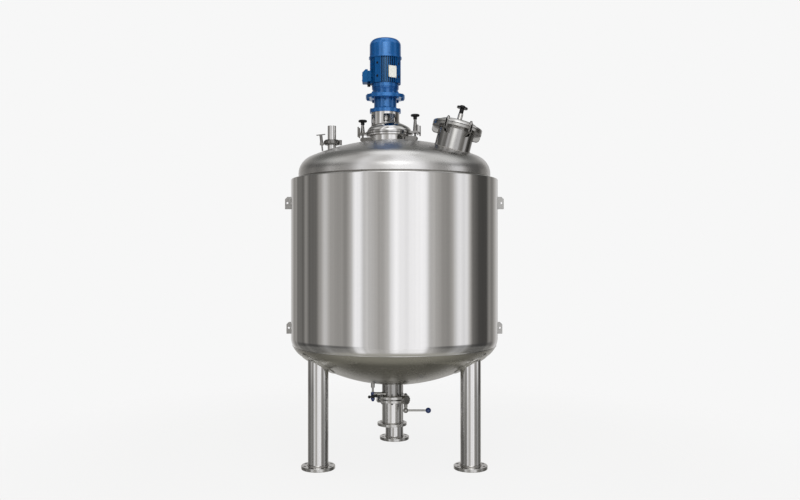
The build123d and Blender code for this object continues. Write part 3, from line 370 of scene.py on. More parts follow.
# Scales of the grain and of the smears: along a round piece's axis the grain is finest
ROLLED = ((60, 60, 300), (3, 3, 3))
CASTING = ((200, 200, 200), (20, 20, 20))
TUBE = ((40, 40, 500), (9, 9, 3))
LATHE = ((90, 90, 700), (7, 7, 7))

JACKET = steel(
    "jacket_steel", (0.77, 0.765, 0.755), (0.06, 0.11), (20, 20, 420), (2.4, 2.4, 0.2), 0.02, 0.1
)
DOME = steel("dome_steel", (0.76, 0.755, 0.745), (0.24, 0.33), *ROLLED, 0.005, 0.3)
# Underside steel, darkened as painted shade under the tank
UNDER_SHADE = steel("under_steel_shaded", (0.46, 0.45, 0.41), (0.22, 0.32), *ROLLED, 0.05)
INNER = steel("inner_steel", (0.55, 0.54, 0.52), (0.24, 0.36), *ROLLED, 0.1)
PIPE = steel("pipe_steel", (0.75, 0.745, 0.735), (0.08, 0.13), (30, 30, 700), (9, 9, 1.2), 0.05)
SATIN = steel("satin_steel", (0.64, 0.635, 0.62), (0.20, 0.30), *TUBE, 0.06)
HATCH = steel("hatch_steel", (0.37, 0.365, 0.355), (0.12, 0.19), *TUBE, 0.05)
CAST = steel("cast_steel", (0.40, 0.395, 0.38), (0.16, 0.30), *CASTING, 0.15)
# Dark steel for clamps, ears and bolts: partly their own dark tone, partly painted shade round
# these small parts
DARK_STEEL = steel("dark_steel", (0.235, 0.23, 0.22), (0.14, 0.26), *CASTING, 0.12)
TURNED = steel(
    "turned_steel", (0.60, 0.595, 0.58), (0.12, 0.22), (160, 160, 900), (12, 12, 12), 0.08
)
POLISHED = steel("polished_steel", (0.78, 0.775, 0.765), (0.06, 0.12), *LATHE, 0.04)
LID = steel("lid_steel", (0.78, 0.775, 0.765), (0.06, 0.12), *LATHE, 0.04)
WELD = steel(
    "weld_steel", (0.50, 0.485, 0.46), (0.25, 0.42), (300, 300, 300), (30, 30, 30), 0.5, 0, 0.25
)
# Dark weld steel; on the jacket's top its darkness is partly painted shade of the joint
DARK_WELD = steel(
    "dark_weld", (0.27, 0.26, 0.245), (0.28, 0.4), (300, 300, 300), (20, 20, 20), 0.4, 0, 0.2
)
PLATE = enamel("plate_white", (0.88, 0.89, 0.82), 0.35, 0.3, spread=0.02)
BLUE = enamel("blue_paint", (0.001, 0.11, 0.39), 0.19, 0.5, 0.3, 2.4, (0.36, 0.68, 1), 0.1, 500)
# Motor fin paint, whose grooves get painted shade further below
NAVY = enamel("fin_paint_groove_shade", (0.001, 0.09, 0.31), 0.24, 0.3, 0.25, 2.0, (0.3, 0.66, 1), 0.15, 500)
BOX_BLUE = enamel("box_paint", (0.001, 0.07, 0.22), 0.4, 0, 0.3, 1.6, (0.3, 0.62, 1))
BLACK = enamel("black_plastic", (0.004, 0.004, 0.0045), 0.36, 0.08, ior=1.35)
RUBBER = enamel("black_rubber", (0.012, 0.012, 0.012), 0.55, 0)
BLUE_PLASTIC = enamel("blue_plastic", (0.001, 0.028, 0.15), 0.16, 0.6)


def darken(material, centre_x, span, near_tone=None, far_tone=None):
    """Blend the colour to another tone inside or outside a span from an upright axis."""
    nodes, links = material.node_tree.nodes, material.node_tree.links
    colour = nodes["Principled BSDF"].inputs["Base Color"]
    paint = colour.links[0].from_socket
    place = nodes.new("ShaderNodeMapping")
    place.inputs["Location"].default_value = (-centre_x, 0, 0)
    place.inputs["Scale"].default_value = (1, 1, 0)
    links.new(nodes.new("ShaderNodeTexCoord").outputs["Object"], place.inputs["Vector"])
    reach = nodes.new("ShaderNodeVectorMath")
    reach.operation = "LENGTH"
    links.new(place.outputs[0], reach.inputs[0])
    away = remapped(nodes, links, reach.outputs["Value"], span, (0, 1))
    links.new(mixed(nodes, links, away, near_tone or paint, far_tone or paint), colour)


# Deep between the motor's fins the paint is darkened as painted shade, and the lid's forks are
# darker than the lid
darken(NAVY, DRIVE_X, (0.094, 0.103), near_tone=(0.001, 0.012, 0.05))
darken(LID, NECK_X, (0.158, 0.162), far_tone=(0.28, 0.275, 0.265))

SLOT_LOOKS = {
    "jacket_steel": JACKET,
    "head_steel": DOME,
    "inner_steel": INNER,
    "leg_steel": PIPE,
    "flange_steel": TURNED,
    "polished_steel": POLISHED,
    "blue_paint": BLUE,
    "black_plastic": BLACK,
    "blue_plastic": BLUE_PLASTIC,
}
NODE_LOOKS = {
    "neck": PIPE,
    "hatch_neck": HATCH,
    "hatch_lid": SATIN,
    "hatch_flange": CAST,
    "neck_lid": LID,
    "side_lugs": CAST,
    # Clamps, ears, bolts and vent screw in dark steel, partly painted shade
    "clamp_ears": DARK_STEEL,
    "clamp_bolt_left": DARK_STEEL,
    "clamp_bolt_right": DARK_STEEL,
    "hatch_bolts": DARK_STEEL,
    "hatch_ears": DARK_STEEL,
    "vent_screw": DARK_STEEL,
    "vent_clamp": DARK_STEEL,
    "valve_drive": CAST,
    "terminal_box": BOX_BLUE,
    "vent_pipe": PIPE,
    "vent_stub": PIPE,
    "motor_housing": NAVY,
    "leg_pads": UNDER_SHADE,
    "outlet_lever": CAST,
    "sample_nipple": CAST,
    "valve_boss": CAST,
    # The outlet stub takes the darker hatch steel as painted shade under the tank
    "outlet_stub": HATCH,
}
node_slots = {row["node"]: row["material_slot"] for row in frame["record"]["subparts"]}


def look_of(node_name):
    return NODE_LOOKS.get(node_name, SLOT_LOOKS[node_slots[node_name]])


for node_name, node in frame["nodes"].items():
    node.data.materials.clear()
    node.data.materials.append(look_of(node_name))


# Meshes
def finish_piece(obj, material, body="tank", replaced=(), sharp=SHARP):
    obj.data.materials.clear()
    obj.data.materials.append(material)
    if sharp:
        obj.data.shade_smooth()
        obj.data.set_sharp_from_angle(angle=math.radians(sharp))
    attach(obj, body)
    if replaced:
        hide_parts(*replaced)


def mesh_object(name, *solids):
    """One object from several (vertices, faces) solids."""
    vertices, faces = [], []
    for points, sides in solids:
        start = len(vertices)
        vertices.extend(tuple(p) for p in points)
        faces.extend(tuple(i + start for i in side) for side in sides)
    mesh = bpy.data.meshes.new(name)
    mesh.from_pydata(vertices, [], faces)
    bm = bmesh.new()
    bm.from_mesh(mesh)
    bmesh.ops.recalc_face_normals(bm, faces=bm.faces)
    bm.to_mesh(mesh)
    bm.free()
    obj = bpy.data.objects.new(name, mesh)
    bpy.context.scene.collection.objects.link(obj)
    return obj


def rounded(points, radius, steps=3):
    """A closed outline with each corner eased by a small curve."""
    eased = []
    count = len(points)
    for i, point in enumerate(points):
        here = Vector(point)
        before = Vector(points[i - 1]) - here
        after = Vector(points[(i + 1) % count]) - here
        cut = min(radius, before.length * 0.45, after.length * 0.45)
        start = here + before.normalized() * cut
        end = here + after.normalized() * cut
        for k in range(steps + 1):
            t = k / steps
            eased.append(start * (1 - t) ** 2 + here * 2 * t * (1 - t) + end * t * t)
    return eased


def turned(profile, segments=96, place=Matrix()):
    """Solid that a closed profile of (radius, height) points sweeps round the local z axis."""
    vertices, rings, faces = [], [], []
    for radius, height in profile:
        if radius < 1e-6:
            rings.append([len(vertices)])
            vertices.append(place @ Vector((0, 0, height)))
            continue
        ring = []
        for i in range(segments):
            a = 2 * math.pi * i / segments
            ring.append(len(vertices))
            vertices.append(place @ Vector((radius * math.cos(a), radius * math.sin(a), height)))
        rings.append(ring)
    for low, high in zip(rings, rings[1:] + rings[:1]):
        if len(low) == 1 and len(high) == 1:
            continue
        for i in range(segments):
            j = (i + 1) % segments
            if len(low) == 1:
                faces.append((low[0], high[j], high[i]))
            elif len(high) == 1:
                faces.append((low[i], low[j], high[0]))
            else:
                faces.append((low[i], low[j], high[j], high[i]))
    return vertices, faces


def ring_profile(inner, outer, low, high, ease=0.0012):
    return rounded([(inner, low), (outer, low), (outer, high), (inner, high)], ease)


def disc_profile(outer, low, high, ease=0.0012):
    edge = [(outer - ease, low), (outer, low + ease), (outer, high - ease), (outer - ease, high)]
    return [(0, low)] + edge + [(0, high)]


def hexagon(radius, low, high, place):
    """A nut or bolt head along the place's z axis, with eased corners."""
    return turned(disc_profile(radius, low, high, 0.0008), 6, place)


def rod(radius, low, high, place, segments=16):
    return turned(disc_profile(radius, low, high, 0.0006), segments, place)


def stud(place, head, height, shank=0.0, length=0.0):
    """A hexagon on a washer, with an optional shank below and a thread end above."""
    washer = turned(disc_profile(head * 1.2, 0, WASHER, 0.0004), 24, place)
    solids = [washer, hexagon(head, WASHER, height, place)]
    if length:
        solids.append(rod(shank, -length, height * 1.3, place))
    return solids


def around(centre_x, radius, height, down=False):
    """Bolt places spaced evenly on a level circle, their z up or down."""
    places = []
    for i in range(BOLT_COUNT):
        a = 2 * math.pi * i / BOLT_COUNT
        spot = Vector((centre_x + radius * math.cos(a), radius * math.sin(a), height))
        flip = Matrix.Rotation(math.pi, 4, "X") if down else Matrix()
        places.append(Matrix.Translation(spot) @ Matrix.Rotation(a, 4, "Z") @ flip)
    return places


def dish_joint(dish):
    """Angle from a dish's axis at which its crown meets its knuckle."""
    radius, knuckle, crown = dish[:3]
    return math.asin((radius - knuckle) / (crown - knuckle))


def dish_surface(dish, reach):
    """Height of a dish's outer surface at a distance from its axis."""
    radius, knuckle, crown, tangent, side = dish
    joint = dish_joint(dish)
    if reach <= crown * math.sin(joint):
        centre = tangent - side * (crown - knuckle) * math.cos(joint)
        return centre + side * math.sqrt(crown**2 - reach**2)
    inside = min(reach, radius) - (radius - knuckle)
    return tangent + side * math.sqrt(max(knuckle**2 - inside**2, 0))


def dish_profile(dish, last=0, first=0, steps=24):
    """Points of a dish's outer surface, from an angle on its knuckle to one on its crown."""
    radius, knuckle, crown, tangent, side = dish
    joint = dish_joint(dish)
    points = []
    turn = math.pi / 2 - joint
    for i in range(steps + 1):
        a = first + (turn - first) * i / steps
        points.append(
            (radius - knuckle + knuckle * math.cos(a), tangent + side * knuckle * math.sin(a))
        )
    centre = tangent - side * (crown - knuckle) * math.cos(joint)
    for i in range(1, steps + 1):
        a = joint + (last - joint) * i / steps
        points.append((crown * math.sin(a), centre + side * crown * math.cos(a)))
    return points


def bead(path, radius, sides=8):
    """A round bead along a closed line of points."""
    vertices, faces = [], []
    count = len(path)
    for i, point in enumerate(path):
        along = (path[(i + 1) % count] - path[i - 1]).normalized()
        side = along.cross(Vector((0, 0, 1))).normalized()
        up = side.cross(along)
        for k in range(sides):
            a = 2 * math.pi * k / sides
            vertices.append(point + side * radius * math.cos(a) + up * radius * math.sin(a))
    for i in range(count):
        j = (i + 1) % count
        for k in range(sides):
            m = (k + 1) % sides
            faces.append((i * sides + k, i * sides + m, j * sides + m, j * sides + k))
    return vertices, faces


def circle_path(radius, height, centre=(0, 0), points=96):
    path = []
    for i in range(points):
        a = 2 * math.pi * i / points
        x, y = centre[0] + radius * math.cos(a), centre[1] + radius * math.sin(a)
        path.append(Vector((x, y, height)))
    return path


# A nozzle's seat is looked for this far up and down its axis, in so many halvings. On the
# dome and the lid the search starts at these heights over their tangent lines.
SEARCH_REACH = 0.2
SEARCH_STEPS = 30
DOME_MIDDLE = 0.15
LID_MIDDLE = 0.05


def seat_path(place, radius, dish, centre_x=0.0, points=96):
    """Where a round nozzle along the place's z axis meets a dish about centre_x."""
    path = []
    for i in range(points):
        a = 2 * math.pi * i / points
        low, high = -SEARCH_REACH, SEARCH_REACH
        for _ in range(SEARCH_STEPS):
            middle = (low + high) / 2
            spot = place @ Vector((radius * math.cos(a), radius * math.sin(a), middle))
            surface = dish_surface(dish, math.hypot(spot.x - centre_x, spot.y))
            if spot.z > surface:
                high = middle
            else:
                low = middle
        path.append(place @ Vector((radius * math.cos(a), radius * math.sin(a), middle)))
    return path


def refined(node_name):
    """A CAD node's own mesh with its sharp edges eased."""
    source = frame["nodes"][node_name]
    mesh = source.data.copy()
    obj = bpy.data.objects.new(node_name + "_eased", mesh)
    bpy.context.scene.collection.objects.link(obj)
    bm = bmesh.new()
    bm.from_mesh(mesh)
    bmesh.ops.remove_doubles(bm, verts=bm.verts, dist=MERGE_DISTANCE)
    flat = math.radians(FLAT_ANGLE)
    bmesh.ops.dissolve_limit(bm, angle_limit=flat, verts=bm.verts, edges=bm.edges)
    bm.to_mesh(mesh)
    bm.free()
    mesh.shade_smooth()
    mesh.set_sharp_from_angle(angle=math.radians(SHARP))
    bevel = obj.modifiers.new("ease", "BEVEL")
    bevel.width = EASE
    bevel.segments = EASE_SEGMENTS
    bevel.limit_method = "ANGLE"
    bevel.angle_limit = math.radians(SHARP)
    bevel.use_clamp_overlap = True
    even = obj.modifiers.new("even", "WEIGHTED_NORMAL")
    even.keep_sharp = True
    bpy.context.view_layer.update()
    evaluated = obj.evaluated_get(bpy.context.evaluated_depsgraph_get())
    eased = bpy.data.meshes.new_from_object(evaluated)
    obj.modifiers.clear()
    obj.data = eased
    body = source["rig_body"]
    finish_piece(obj, look_of(node_name), body, [node_name], 0)


def make_shell():
    """Jacket, the two heads, the weld round the hem and the weld round the jacket's top."""
    radius, knuckle, crown, tangent, side = BOTTOM_DISH
    hem = math.asin(HEM_HEIGHT / knuckle)
    hem_steps, corner_steps = 8, 4
    outer, inner = [], []
    for i in range(hem_steps + 1):
        a = hem * i / hem_steps
        outer.append((radius - knuckle + knuckle * math.cos(a), tangent - knuckle * math.sin(a)))
        k = knuckle - SHEET
        inner.append((radius - knuckle + k * math.cos(a), tangent - k * math.sin(a)))
    lip = TOP_DISH[0] + JACKET_GAP
    corner = JACKET_CORNER
    top = [(lip, JACKET_TOP - SHEET), (lip, JACKET_TOP)]
    for i in range(corner_steps + 1):
        a = math.pi / 2 * (1 - i / corner_steps)
        x = radius - corner + corner * math.cos(a)
        top.append((x, JACKET_TOP - corner + corner * math.sin(a)))
    wall = [(radius, JACKET_TOP - corner - WALL_MARGIN), (radius, tangent + WALL_MARGIN)]
    back = [(radius - SHEET, JACKET_TOP - SHEET)]
    jacket = mesh_object("jacket", turned(top + wall + outer + inner[::-1] + back, ROUND))
    panels = [n for n in frame["nodes"] if n.startswith("jacket_panel")]
    finish_piece(jacket, JACKET, "tank", panels, FINE_SHARP)

    opening = math.asin(OUTLET_RADIUS / 2 / crown)
    thinner = (radius - HEAD_SHEET, knuckle - HEAD_SHEET, crown - HEAD_SHEET, tangent, side)
    outside = dish_profile(BOTTOM_DISH, opening, hem)
    inside = dish_profile(thinner, opening, hem)
    head = mesh_object("bottom_head_skin", turned(outside + inside[::-1], ROUND))
    # The bottom head takes the darker underside steel as painted shade
    finish_piece(head, UNDER_SHADE, "tank", ["bottom_head"], FINE_SHARP)

    hem_radius = radius - knuckle + knuckle * math.cos(hem)
    hem_line = circle_path(hem_radius, tangent - knuckle * math.sin(hem), (0, 0), ROUND)
    finish_piece(mesh_object("hem_weld", bead(hem_line, FLANGE_BEAD)), TURNED)

    flange = [(TOP_DISH[0], JACKET_TOP), (TOP_DISH[0], TOP_DISH[3] - DOME_MARGIN)]
    under = tuple(v - DOME_SHEET for v in TOP_DISH[:3]) + TOP_DISH[3:]
    inside = [(under[0], JACKET_TOP)] + dish_profile(under)
    skin = turned(flange + dish_profile(TOP_DISH) + inside[::-1], ROUND)
    dome = mesh_object("top_head_skin", skin)
    finish_piece(dome, DOME, "tank", ["top_head"], FINE_SHARP)

    reach, rise = TOP_DISH[0] + RIM_WELD_WIDTH, JACKET_TOP + RIM_WELD_HEIGHT
    fillet = [(TOP_DISH[0], JACKET_TOP), (reach, JACKET_TOP), (TOP_DISH[0], rise)]
    rim = mesh_object("rim_weld", turned(rounded(fillet, RIM_WELD_EASE), ROUND))
    # The rim weld's dark tone is partly painted shade of the joint
    finish_piece(rim, DARK_WELD)


def make_legs():
    """Closed leg tubes that end just under the bottom head, and their welds."""
    sides, levels = 96, 12
    for number in range(1, LEG_COUNT + 1):
        low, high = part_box(f"foot_flange_{number}")
        x, y = (low.x + high.x) / 2, (low.y + high.y) / 2
        plate_top = high.z
        leg_low, leg_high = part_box(f"leg_{number}")
        radius = (leg_high.x - leg_low.x) / 2
        rings = [(radius, level / levels) for level in range(levels + 1)]
        rings += [(radius - LEG_WALL, 1), (radius - LEG_WALL, 0)]
        vertices, faces = [], []
        for reach, share in rings:
            for i in range(sides):
                a = 2 * math.pi * i / sides
                px, py = x + reach * math.cos(a), y + reach * math.sin(a)
                top = dish_surface(BOTTOM_DISH, math.hypot(px, py)) - LEG_SINK
                vertices.append((px, py, plate_top + (top - plate_top) * share))
        for ring in range(len(rings)):
            a, b = ring * sides, (ring + 1) % len(rings) * sides
            for i in range(sides):
                j = (i + 1) % sides
                faces.append((a + i, a + j, b + j, b + i))
        leg = mesh_object(f"leg_tube_{number}", (vertices, faces))
        finish_piece(leg, PIPE, "tank", [f"leg_{number}"])
        foot_line = circle_path(radius, plate_top + BEAD_LIFT, (x, y))
        foot_weld = mesh_object(f"leg_foot_weld_{number}", bead(foot_line, FOOT_BEAD))
        finish_piece(foot_weld, WELD)
        upright = Matrix.Translation((x, y, dish_surface(BOTTOM_DISH, math.hypot(x, y))))
        drop = Vector((0, 0, LEG_PAD_THICKNESS))
        top_line = [p - drop for p in seat_path(upright, radius, BOTTOM_DISH)]
        rim_line = [p - drop / 2 for p in seat_path(upright, LEG_PAD_RADIUS, BOTTOM_DISH)]
        beads = bead(top_line, FOOT_BEAD), bead(rim_line, FLANGE_BEAD)
        finish_piece(mesh_object(f"leg_top_weld_{number}", *beads), TURNED)


def hatch_place():
    """Where the hand hole's axis leaves the dome, its z along the axis."""
    x, y = HATCH_REACH * math.cos(HATCH_ANGLE), HATCH_REACH * math.sin(HATCH_ANGLE)
    tilt = math.sin(HATCH_TILT)
    axis = Vector((tilt * math.cos(HATCH_LEAN), tilt * math.sin(HATCH_LEAN), math.cos(HATCH_TILT)))
    side = (Vector((1, 0, 0)) - axis * axis.x).normalized()
    turn = Matrix((side, axis.cross(side), axis)).transposed().to_4x4()
    return Matrix.Translation((x, y, dish_surface(TOP_DISH, HATCH_REACH))) @ turn


def lid_dish():
    """The neck lid's dish, read from the neck's ring below it."""
    low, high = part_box("neck")
    rim_top = high.z + LID_RIM_THICKNESS
    radius = (high.x - low.x) / 2 + LID_OVERLAP - LID_SHOULDER
    return (radius, LID_KNUCKLE, LID_CROWN, rim_top, 1)


def make_welds():
    """Welds where the nozzles meet the heads, the lid and their flanges."""
    hatch = hatch_place()
    vent = Matrix.Translation((*VENT, TOP_DISH[3] + DOME_MIDDLE))
    neck = Matrix.Translation((NECK_X, 0, TOP_DISH[3] + DOME_MIDDLE))
    nozzles = mesh_object(
        "nozzle_welds",
        bead(seat_path(hatch, HATCH_RADIUS, TOP_DISH), NOZZLE_BEAD),
        bead(seat_path(vent, VENT_RADIUS, TOP_DISH, 0, 48), FLANGE_BEAD),
        bead(seat_path(neck, NECK_RADIUS, TOP_DISH), NOZZLE_BEAD),
    )
    finish_piece(nozzles, WELD)
    collar = [hatch @ p for p in circle_path(HATCH_RADIUS, HATCH_NECK_HEIGHT - BEAD_LIFT)]
    ring_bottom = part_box("neck")[1].z - NECK_RING_THICKNESS
    necks = mesh_object(
        "flange_welds",
        bead(collar, FLANGE_BEAD),
        bead(circle_path(NECK_RADIUS, ring_bottom - BEAD_LIFT, (NECK_X, 0)), FLANGE_BEAD),
    )
    finish_piece(necks, WELD)

    lid = lid_dish()
    lantern = Matrix.Translation((DRIVE_X, 0, lid[3] + LID_MIDDLE))
    foot = seat_path(lantern, LANTERN_RADIUS, lid, NECK_X)
    lantern_weld = mesh_object("lantern_weld", bead(foot, LANTERN_BEAD))
    finish_piece(lantern_weld, DARK_WELD)

    outlet = Matrix.Translation((OUTLET_X, 0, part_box("bottom_head")[0].z))
    valve_low, valve_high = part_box("outlet_valve")
    flange_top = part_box("outlet_flange")[1].z
    beads = [bead(seat_path(outlet, OUTLET_RADIUS, BOTTOM_DISH, 0, 72), NOZZLE_BEAD)]
    for height, size in (
        (valve_high.z + BEAD_LIFT, FLANGE_BEAD),
        (valve_low.z - BEAD_LIFT, FLANGE_BEAD),
        (flange_top + BEAD_LIFT, NOZZLE_BEAD),
    ):
        beads.append(bead(circle_path(OUTLET_RADIUS, height, (OUTLET_X, 0), 72), size))
    finish_piece(mesh_object("outlet_welds", *beads), WELD)


def make_gaskets():
    """Black gaskets that show in the joints of the neck and the hand hole."""
    neck_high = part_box("neck")[1]
    ring, top = neck_high.x - NECK_X, neck_high.z
    neck = ring_profile(
        ring - NECK_GASKET_INSET,
        ring + NECK_GASKET_PROUD,
        top - NECK_GASKET_HALF,
        top + NECK_GASKET_HALF,
        NECK_GASKET_EASE,
    )
    low = HATCH_NECK_HEIGHT + HATCH_FLANGE_THICKNESS
    hatch = ring_profile(
        HATCH_RADIUS + HATCH_GASKET_INNER,
        HATCH_RADIUS + HATCH_GASKET_OUTER,
        low,
        low + HATCH_GASKET_THICKNESS,
        HATCH_GASKET_EASE,
    )
    gaskets = mesh_object(
        "gaskets",
        turned(neck, 96, Matrix.Translation((NECK_X, 0, 0))),
        turned(hatch, 96, hatch_place()),
    )
    finish_piece(gaskets, RUBBER)


def make_bolts():
    """Bolts on the flanges of the drive, and above and below the outlet valve."""
    gear_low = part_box("gearbox")[0]
    bell_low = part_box("motor_end_bell")[0]
    blue = []
    for place in around(DRIVE_X, GEAR_BOLT_CIRCLE, gear_low.z + GEAR_FLANGE):
        blue += stud(place, *GEAR_STUD)
    for place in around(DRIVE_X, MOTOR_BOLT_CIRCLE, bell_low.z, down=True):
        blue += stud(place, *MOTOR_HEAD)
    for place in around(DRIVE_X, MOTOR_BOLT_CIRCLE, bell_low.z + BELL_FLANGE):
        blue += stud(place, *MOTOR_NUT)
    finish_piece(mesh_object("drive_bolts", *blue), NAVY)

    valve_low, valve_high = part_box("outlet_valve")
    bare = []
    for place in around(OUTLET_X, OUTLET_BOLT_CIRCLE, valve_high.z):
        bare += stud(place, *OUTLET_UPPER)
    for place in around(OUTLET_X, OUTLET_BOLT_CIRCLE, valve_low.z, down=True):
        bare += stud(place, *OUTLET_LOWER)
    # Outlet bolts in dark steel, partly painted shade under the tank
    finish_piece(mesh_object("outlet_bolts", *bare), DARK_STEEL)


def facing(angle, reach, height):
    """Place on a side of the drive, its z pointing outwards."""
    upright = Matrix.Translation((DRIVE_X, 0, height)) @ Matrix.Rotation(angle, 4, "Z")
    return upright @ Matrix.Translation((reach, 0, 0)) @ Matrix.Rotation(math.pi / 2, 4, "Y")


def make_nameplate(fin, middle):
    turn = Matrix.Rotation(PLATE_ANGLE, 4, "Z")
    base = Matrix.Translation((DRIVE_X, 0, middle - PLATE_DROP)) @ turn
    side, top = PLATE_WIDTH / 2, PLATE_HEIGHT / 2
    outline = rounded([(-side, -top), (side, -top), (side, top), (-side, top)], PLATE_CORNER)
    front = [base @ Vector((fin + PLATE_THICKNESS, p.x, p.y)) for p in outline]
    back = [base @ Vector((fin - PLATE_SINK, p.x, p.y)) for p in outline]
    count = len(outline)
    faces = [tuple(range(count)), tuple(range(count, 2 * count))]
    for i in range(count):
        j = (i + 1) % count
        faces.append((i, j, count + j, count + i))
    finish_piece(mesh_object("nameplate", (front + back, faces)), PLATE)

    outwards = Matrix.Rotation(math.pi / 2, 4, "Y")
    rivets = []
    for across in (RIVET_INSET - side, side - RIVET_INSET):
        for up in (RIVET_INSET - top, top - RIVET_INSET):
            spot = Matrix.Translation((fin + PLATE_THICKNESS, across, up))
            rivets.append(rod(RIVET_RADIUS, 0, RIVET_HEIGHT, base @ spot @ outwards, 12))
    finish_piece(mesh_object("nameplate_rivets", *rivets), TURNED)


def make_motor_details():
    """Bare nameplate, pad plugs, fan cover screws, terminal box screws and cable gland."""
    low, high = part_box("motor_housing")
    fin = (high.x - low.x) / 2
    middle = (low.z + high.z) / 2
    make_nameplate(fin, middle)

    cover_low, cover_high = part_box("fan_cover")
    cover = (cover_high.x - cover_low.x) / 2
    plugs, screws = [], []
    for quarter in (0, 90, 180, 270):
        a = math.radians(quarter + PLUG_START)
        for up in (-PLUG_OFFSET, PLUG_OFFSET):
            place = facing(a, fin - PLUG_SINK, middle + up)
            plugs.append(hexagon(PLUG_RADIUS, 0, PLUG_HEIGHT, place))
        a = math.radians(quarter + COVER_SCREW_START)
        place = facing(a, cover - COVER_SCREW_SINK, cover_low.z + COVER_SCREW_LEVEL)
        screws.append(rod(COVER_SCREW_RADIUS, 0, COVER_SCREW_HEIGHT, place))
    finish_piece(mesh_object("pad_plugs", *plugs), BLACK)
    finish_piece(mesh_object("motor_screws", *screws), NAVY)

    box_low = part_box("terminal_box")[0]
    leftwards = Matrix.Rotation(-math.pi / 2, 4, "Y")
    screws = []
    for across in (-BOX_SCREW_OFFSET, BOX_SCREW_OFFSET):
        for level in BOX_SCREW_LEVELS:
            place = Matrix.Translation((box_low.x, across, box_low.z + level)) @ leftwards
            screws.append(rod(BOX_SCREW_RADIUS, -BOX_SCREW_SINK, BOX_SCREW_HEIGHT, place))
    finish_piece(mesh_object("box_screws", *screws), NAVY)
    gland = Matrix.Translation((low.x - GLAND_REACH, 0, box_low.z - GLAND_DROP))
    sleeve, nut = rod(*GLAND_SLEEVE, gland), hexagon(*GLAND_NUT, gland)
    finish_piece(mesh_object("box_gland", sleeve, nut), BLACK)


make_shell()
make_legs()
make_welds()
make_gaskets()
make_bolts()
make_motor_details()

# Nodes with finer meshes of their own above, and the hidden inner vessel, which stays as it is
BUILT_NODES = (
    "inner_vessel",
    "bottom_head",
    "top_head",
    "jacket_panel",
    "leg_1",
    "leg_2",
    "leg_3",
)
for node_name in frame["nodes"]:
    if not node_name.startswith(BUILT_NODES):
        refined(node_name)


# Studio: pale floor, and a surrounding light with soft bright and dark panels
BACKDROP = (0.93, 0.93, 0.93)
FLOOR_REACH = 4
FLOOR_CORNERS = 96


def make_studio():
    """A round floor that thins out to nothing, so that its edge never shows."""
    corners = range(FLOOR_CORNERS)
    turns = [2 * math.pi * i / FLOOR_CORNERS for i in corners]
    rim = [(FLOOR_REACH * math.cos(a), FLOOR_REACH * math.sin(a), 0) for a in turns]
    floor = mesh_object("floor", (rim, [tuple(corners)]))
    material, nodes, links = new_material("floor_paper")
    shader = nodes["Principled BSDF"]
    shader.inputs["Base Color"].default_value = (0.86, 0.85, 0.80, 1)
    shader.inputs["Roughness"].default_value = 0.9
    shader.inputs["Specular IOR Level"].default_value = 0.1
    glow = nodes.new("ShaderNodeEmission")
    glow.inputs["Color"].default_value = grey(BACKDROP)
    rays = nodes.new("ShaderNodeLightPath")
    paper = nodes.new("ShaderNodeMixShader")
    shown = math_node(nodes, links, "MULTIPLY", rays.outputs["Is Camera Ray"], 0.93)
    links.new(shown, paper.inputs[0])
    links.new(shader.outputs[0], paper.inputs[1])
    links.new(glow.outputs[0], paper.inputs[2])
    reach = nodes.new("ShaderNodeVectorMath")
    reach.operation = "LENGTH"
    links.new(nodes.new("ShaderNodeTexCoord").outputs["Object"], reach.inputs[0])
    faded = remapped(nodes, links, reach.outputs["Value"], (1.5, 3.6), (0, 1))
    mirrored = math_node(nodes, links, "MULTIPLY", rays.outputs["Is Glossy Ray"], 0.85)
    thin = nodes.new("ShaderNodeMixShader")
    links.new(math_node(nodes, links, "MAXIMUM", faded, mirrored), thin.inputs[0])
    links.new(paper.outputs[0], thin.inputs[1])
    links.new(nodes.new("ShaderNodeBsdfTransparent").outputs[0], thin.inputs[2])
    links.new(thin.outputs[0], nodes["Material Output"].inputs["Surface"])
    floor.data.materials.append(material)


# Brightness round the studio, by share of a turn: front (0), left (0.25), back (0.5), right (0.75)
PANELS = (
    (0.000, 1.10),
    (0.010, 0.90),
    (0.018, 0.52),
    (0.045, 0.42),
    (0.064, 0.58),
    (0.090, 0.70),
    (0.104, 1.10),
    (0.116, 1.15),
    (0.130, 0.55),
    (0.145, 0.32),
    (0.200, 0.40),
    (0.222, 0.70),
    (0.236, 0.48),
    (0.260, 0.14),
    (0.300, 0.18),
    (0.350, 0.18),
    (0.390, 0.45),
    (0.440, 0.85),
    (0.560, 0.85),
    (0.600, 0.30),
    (0.645, 0.22),
    (0.665, 0.06),
    (0.710, 0.07),
    (0.742, 0.18),
    (0.765, 0.90),
    (0.803, 0.92),
    (0.822, 0.36),
    (0.850, 0.32),
    (0.895, 0.60),
    (0.908, 1.15),
    (0.970, 1.00),
    (1.000, 1.10),
)

# Thin lines behind the object, which the jacket shows near its outline
BACK_LINES = (
    (0.284, 1.00),
    (0.292, 0.70),
    (0.311, 1.90),
    (0.325, 0.75),
    (0.349, 1.10),
    (0.365, 0.60),
    (0.383, 0.95),
    (0.393, 0.55),
    (0.405, 0.60),
    (0.437, 0.75),
    (0.550, 0.70),
    (0.578, 0.95),
    (0.603, 1.40),
    (0.625, 0.75),
    (0.658, 1.60),
    (0.672, 1.00),
)


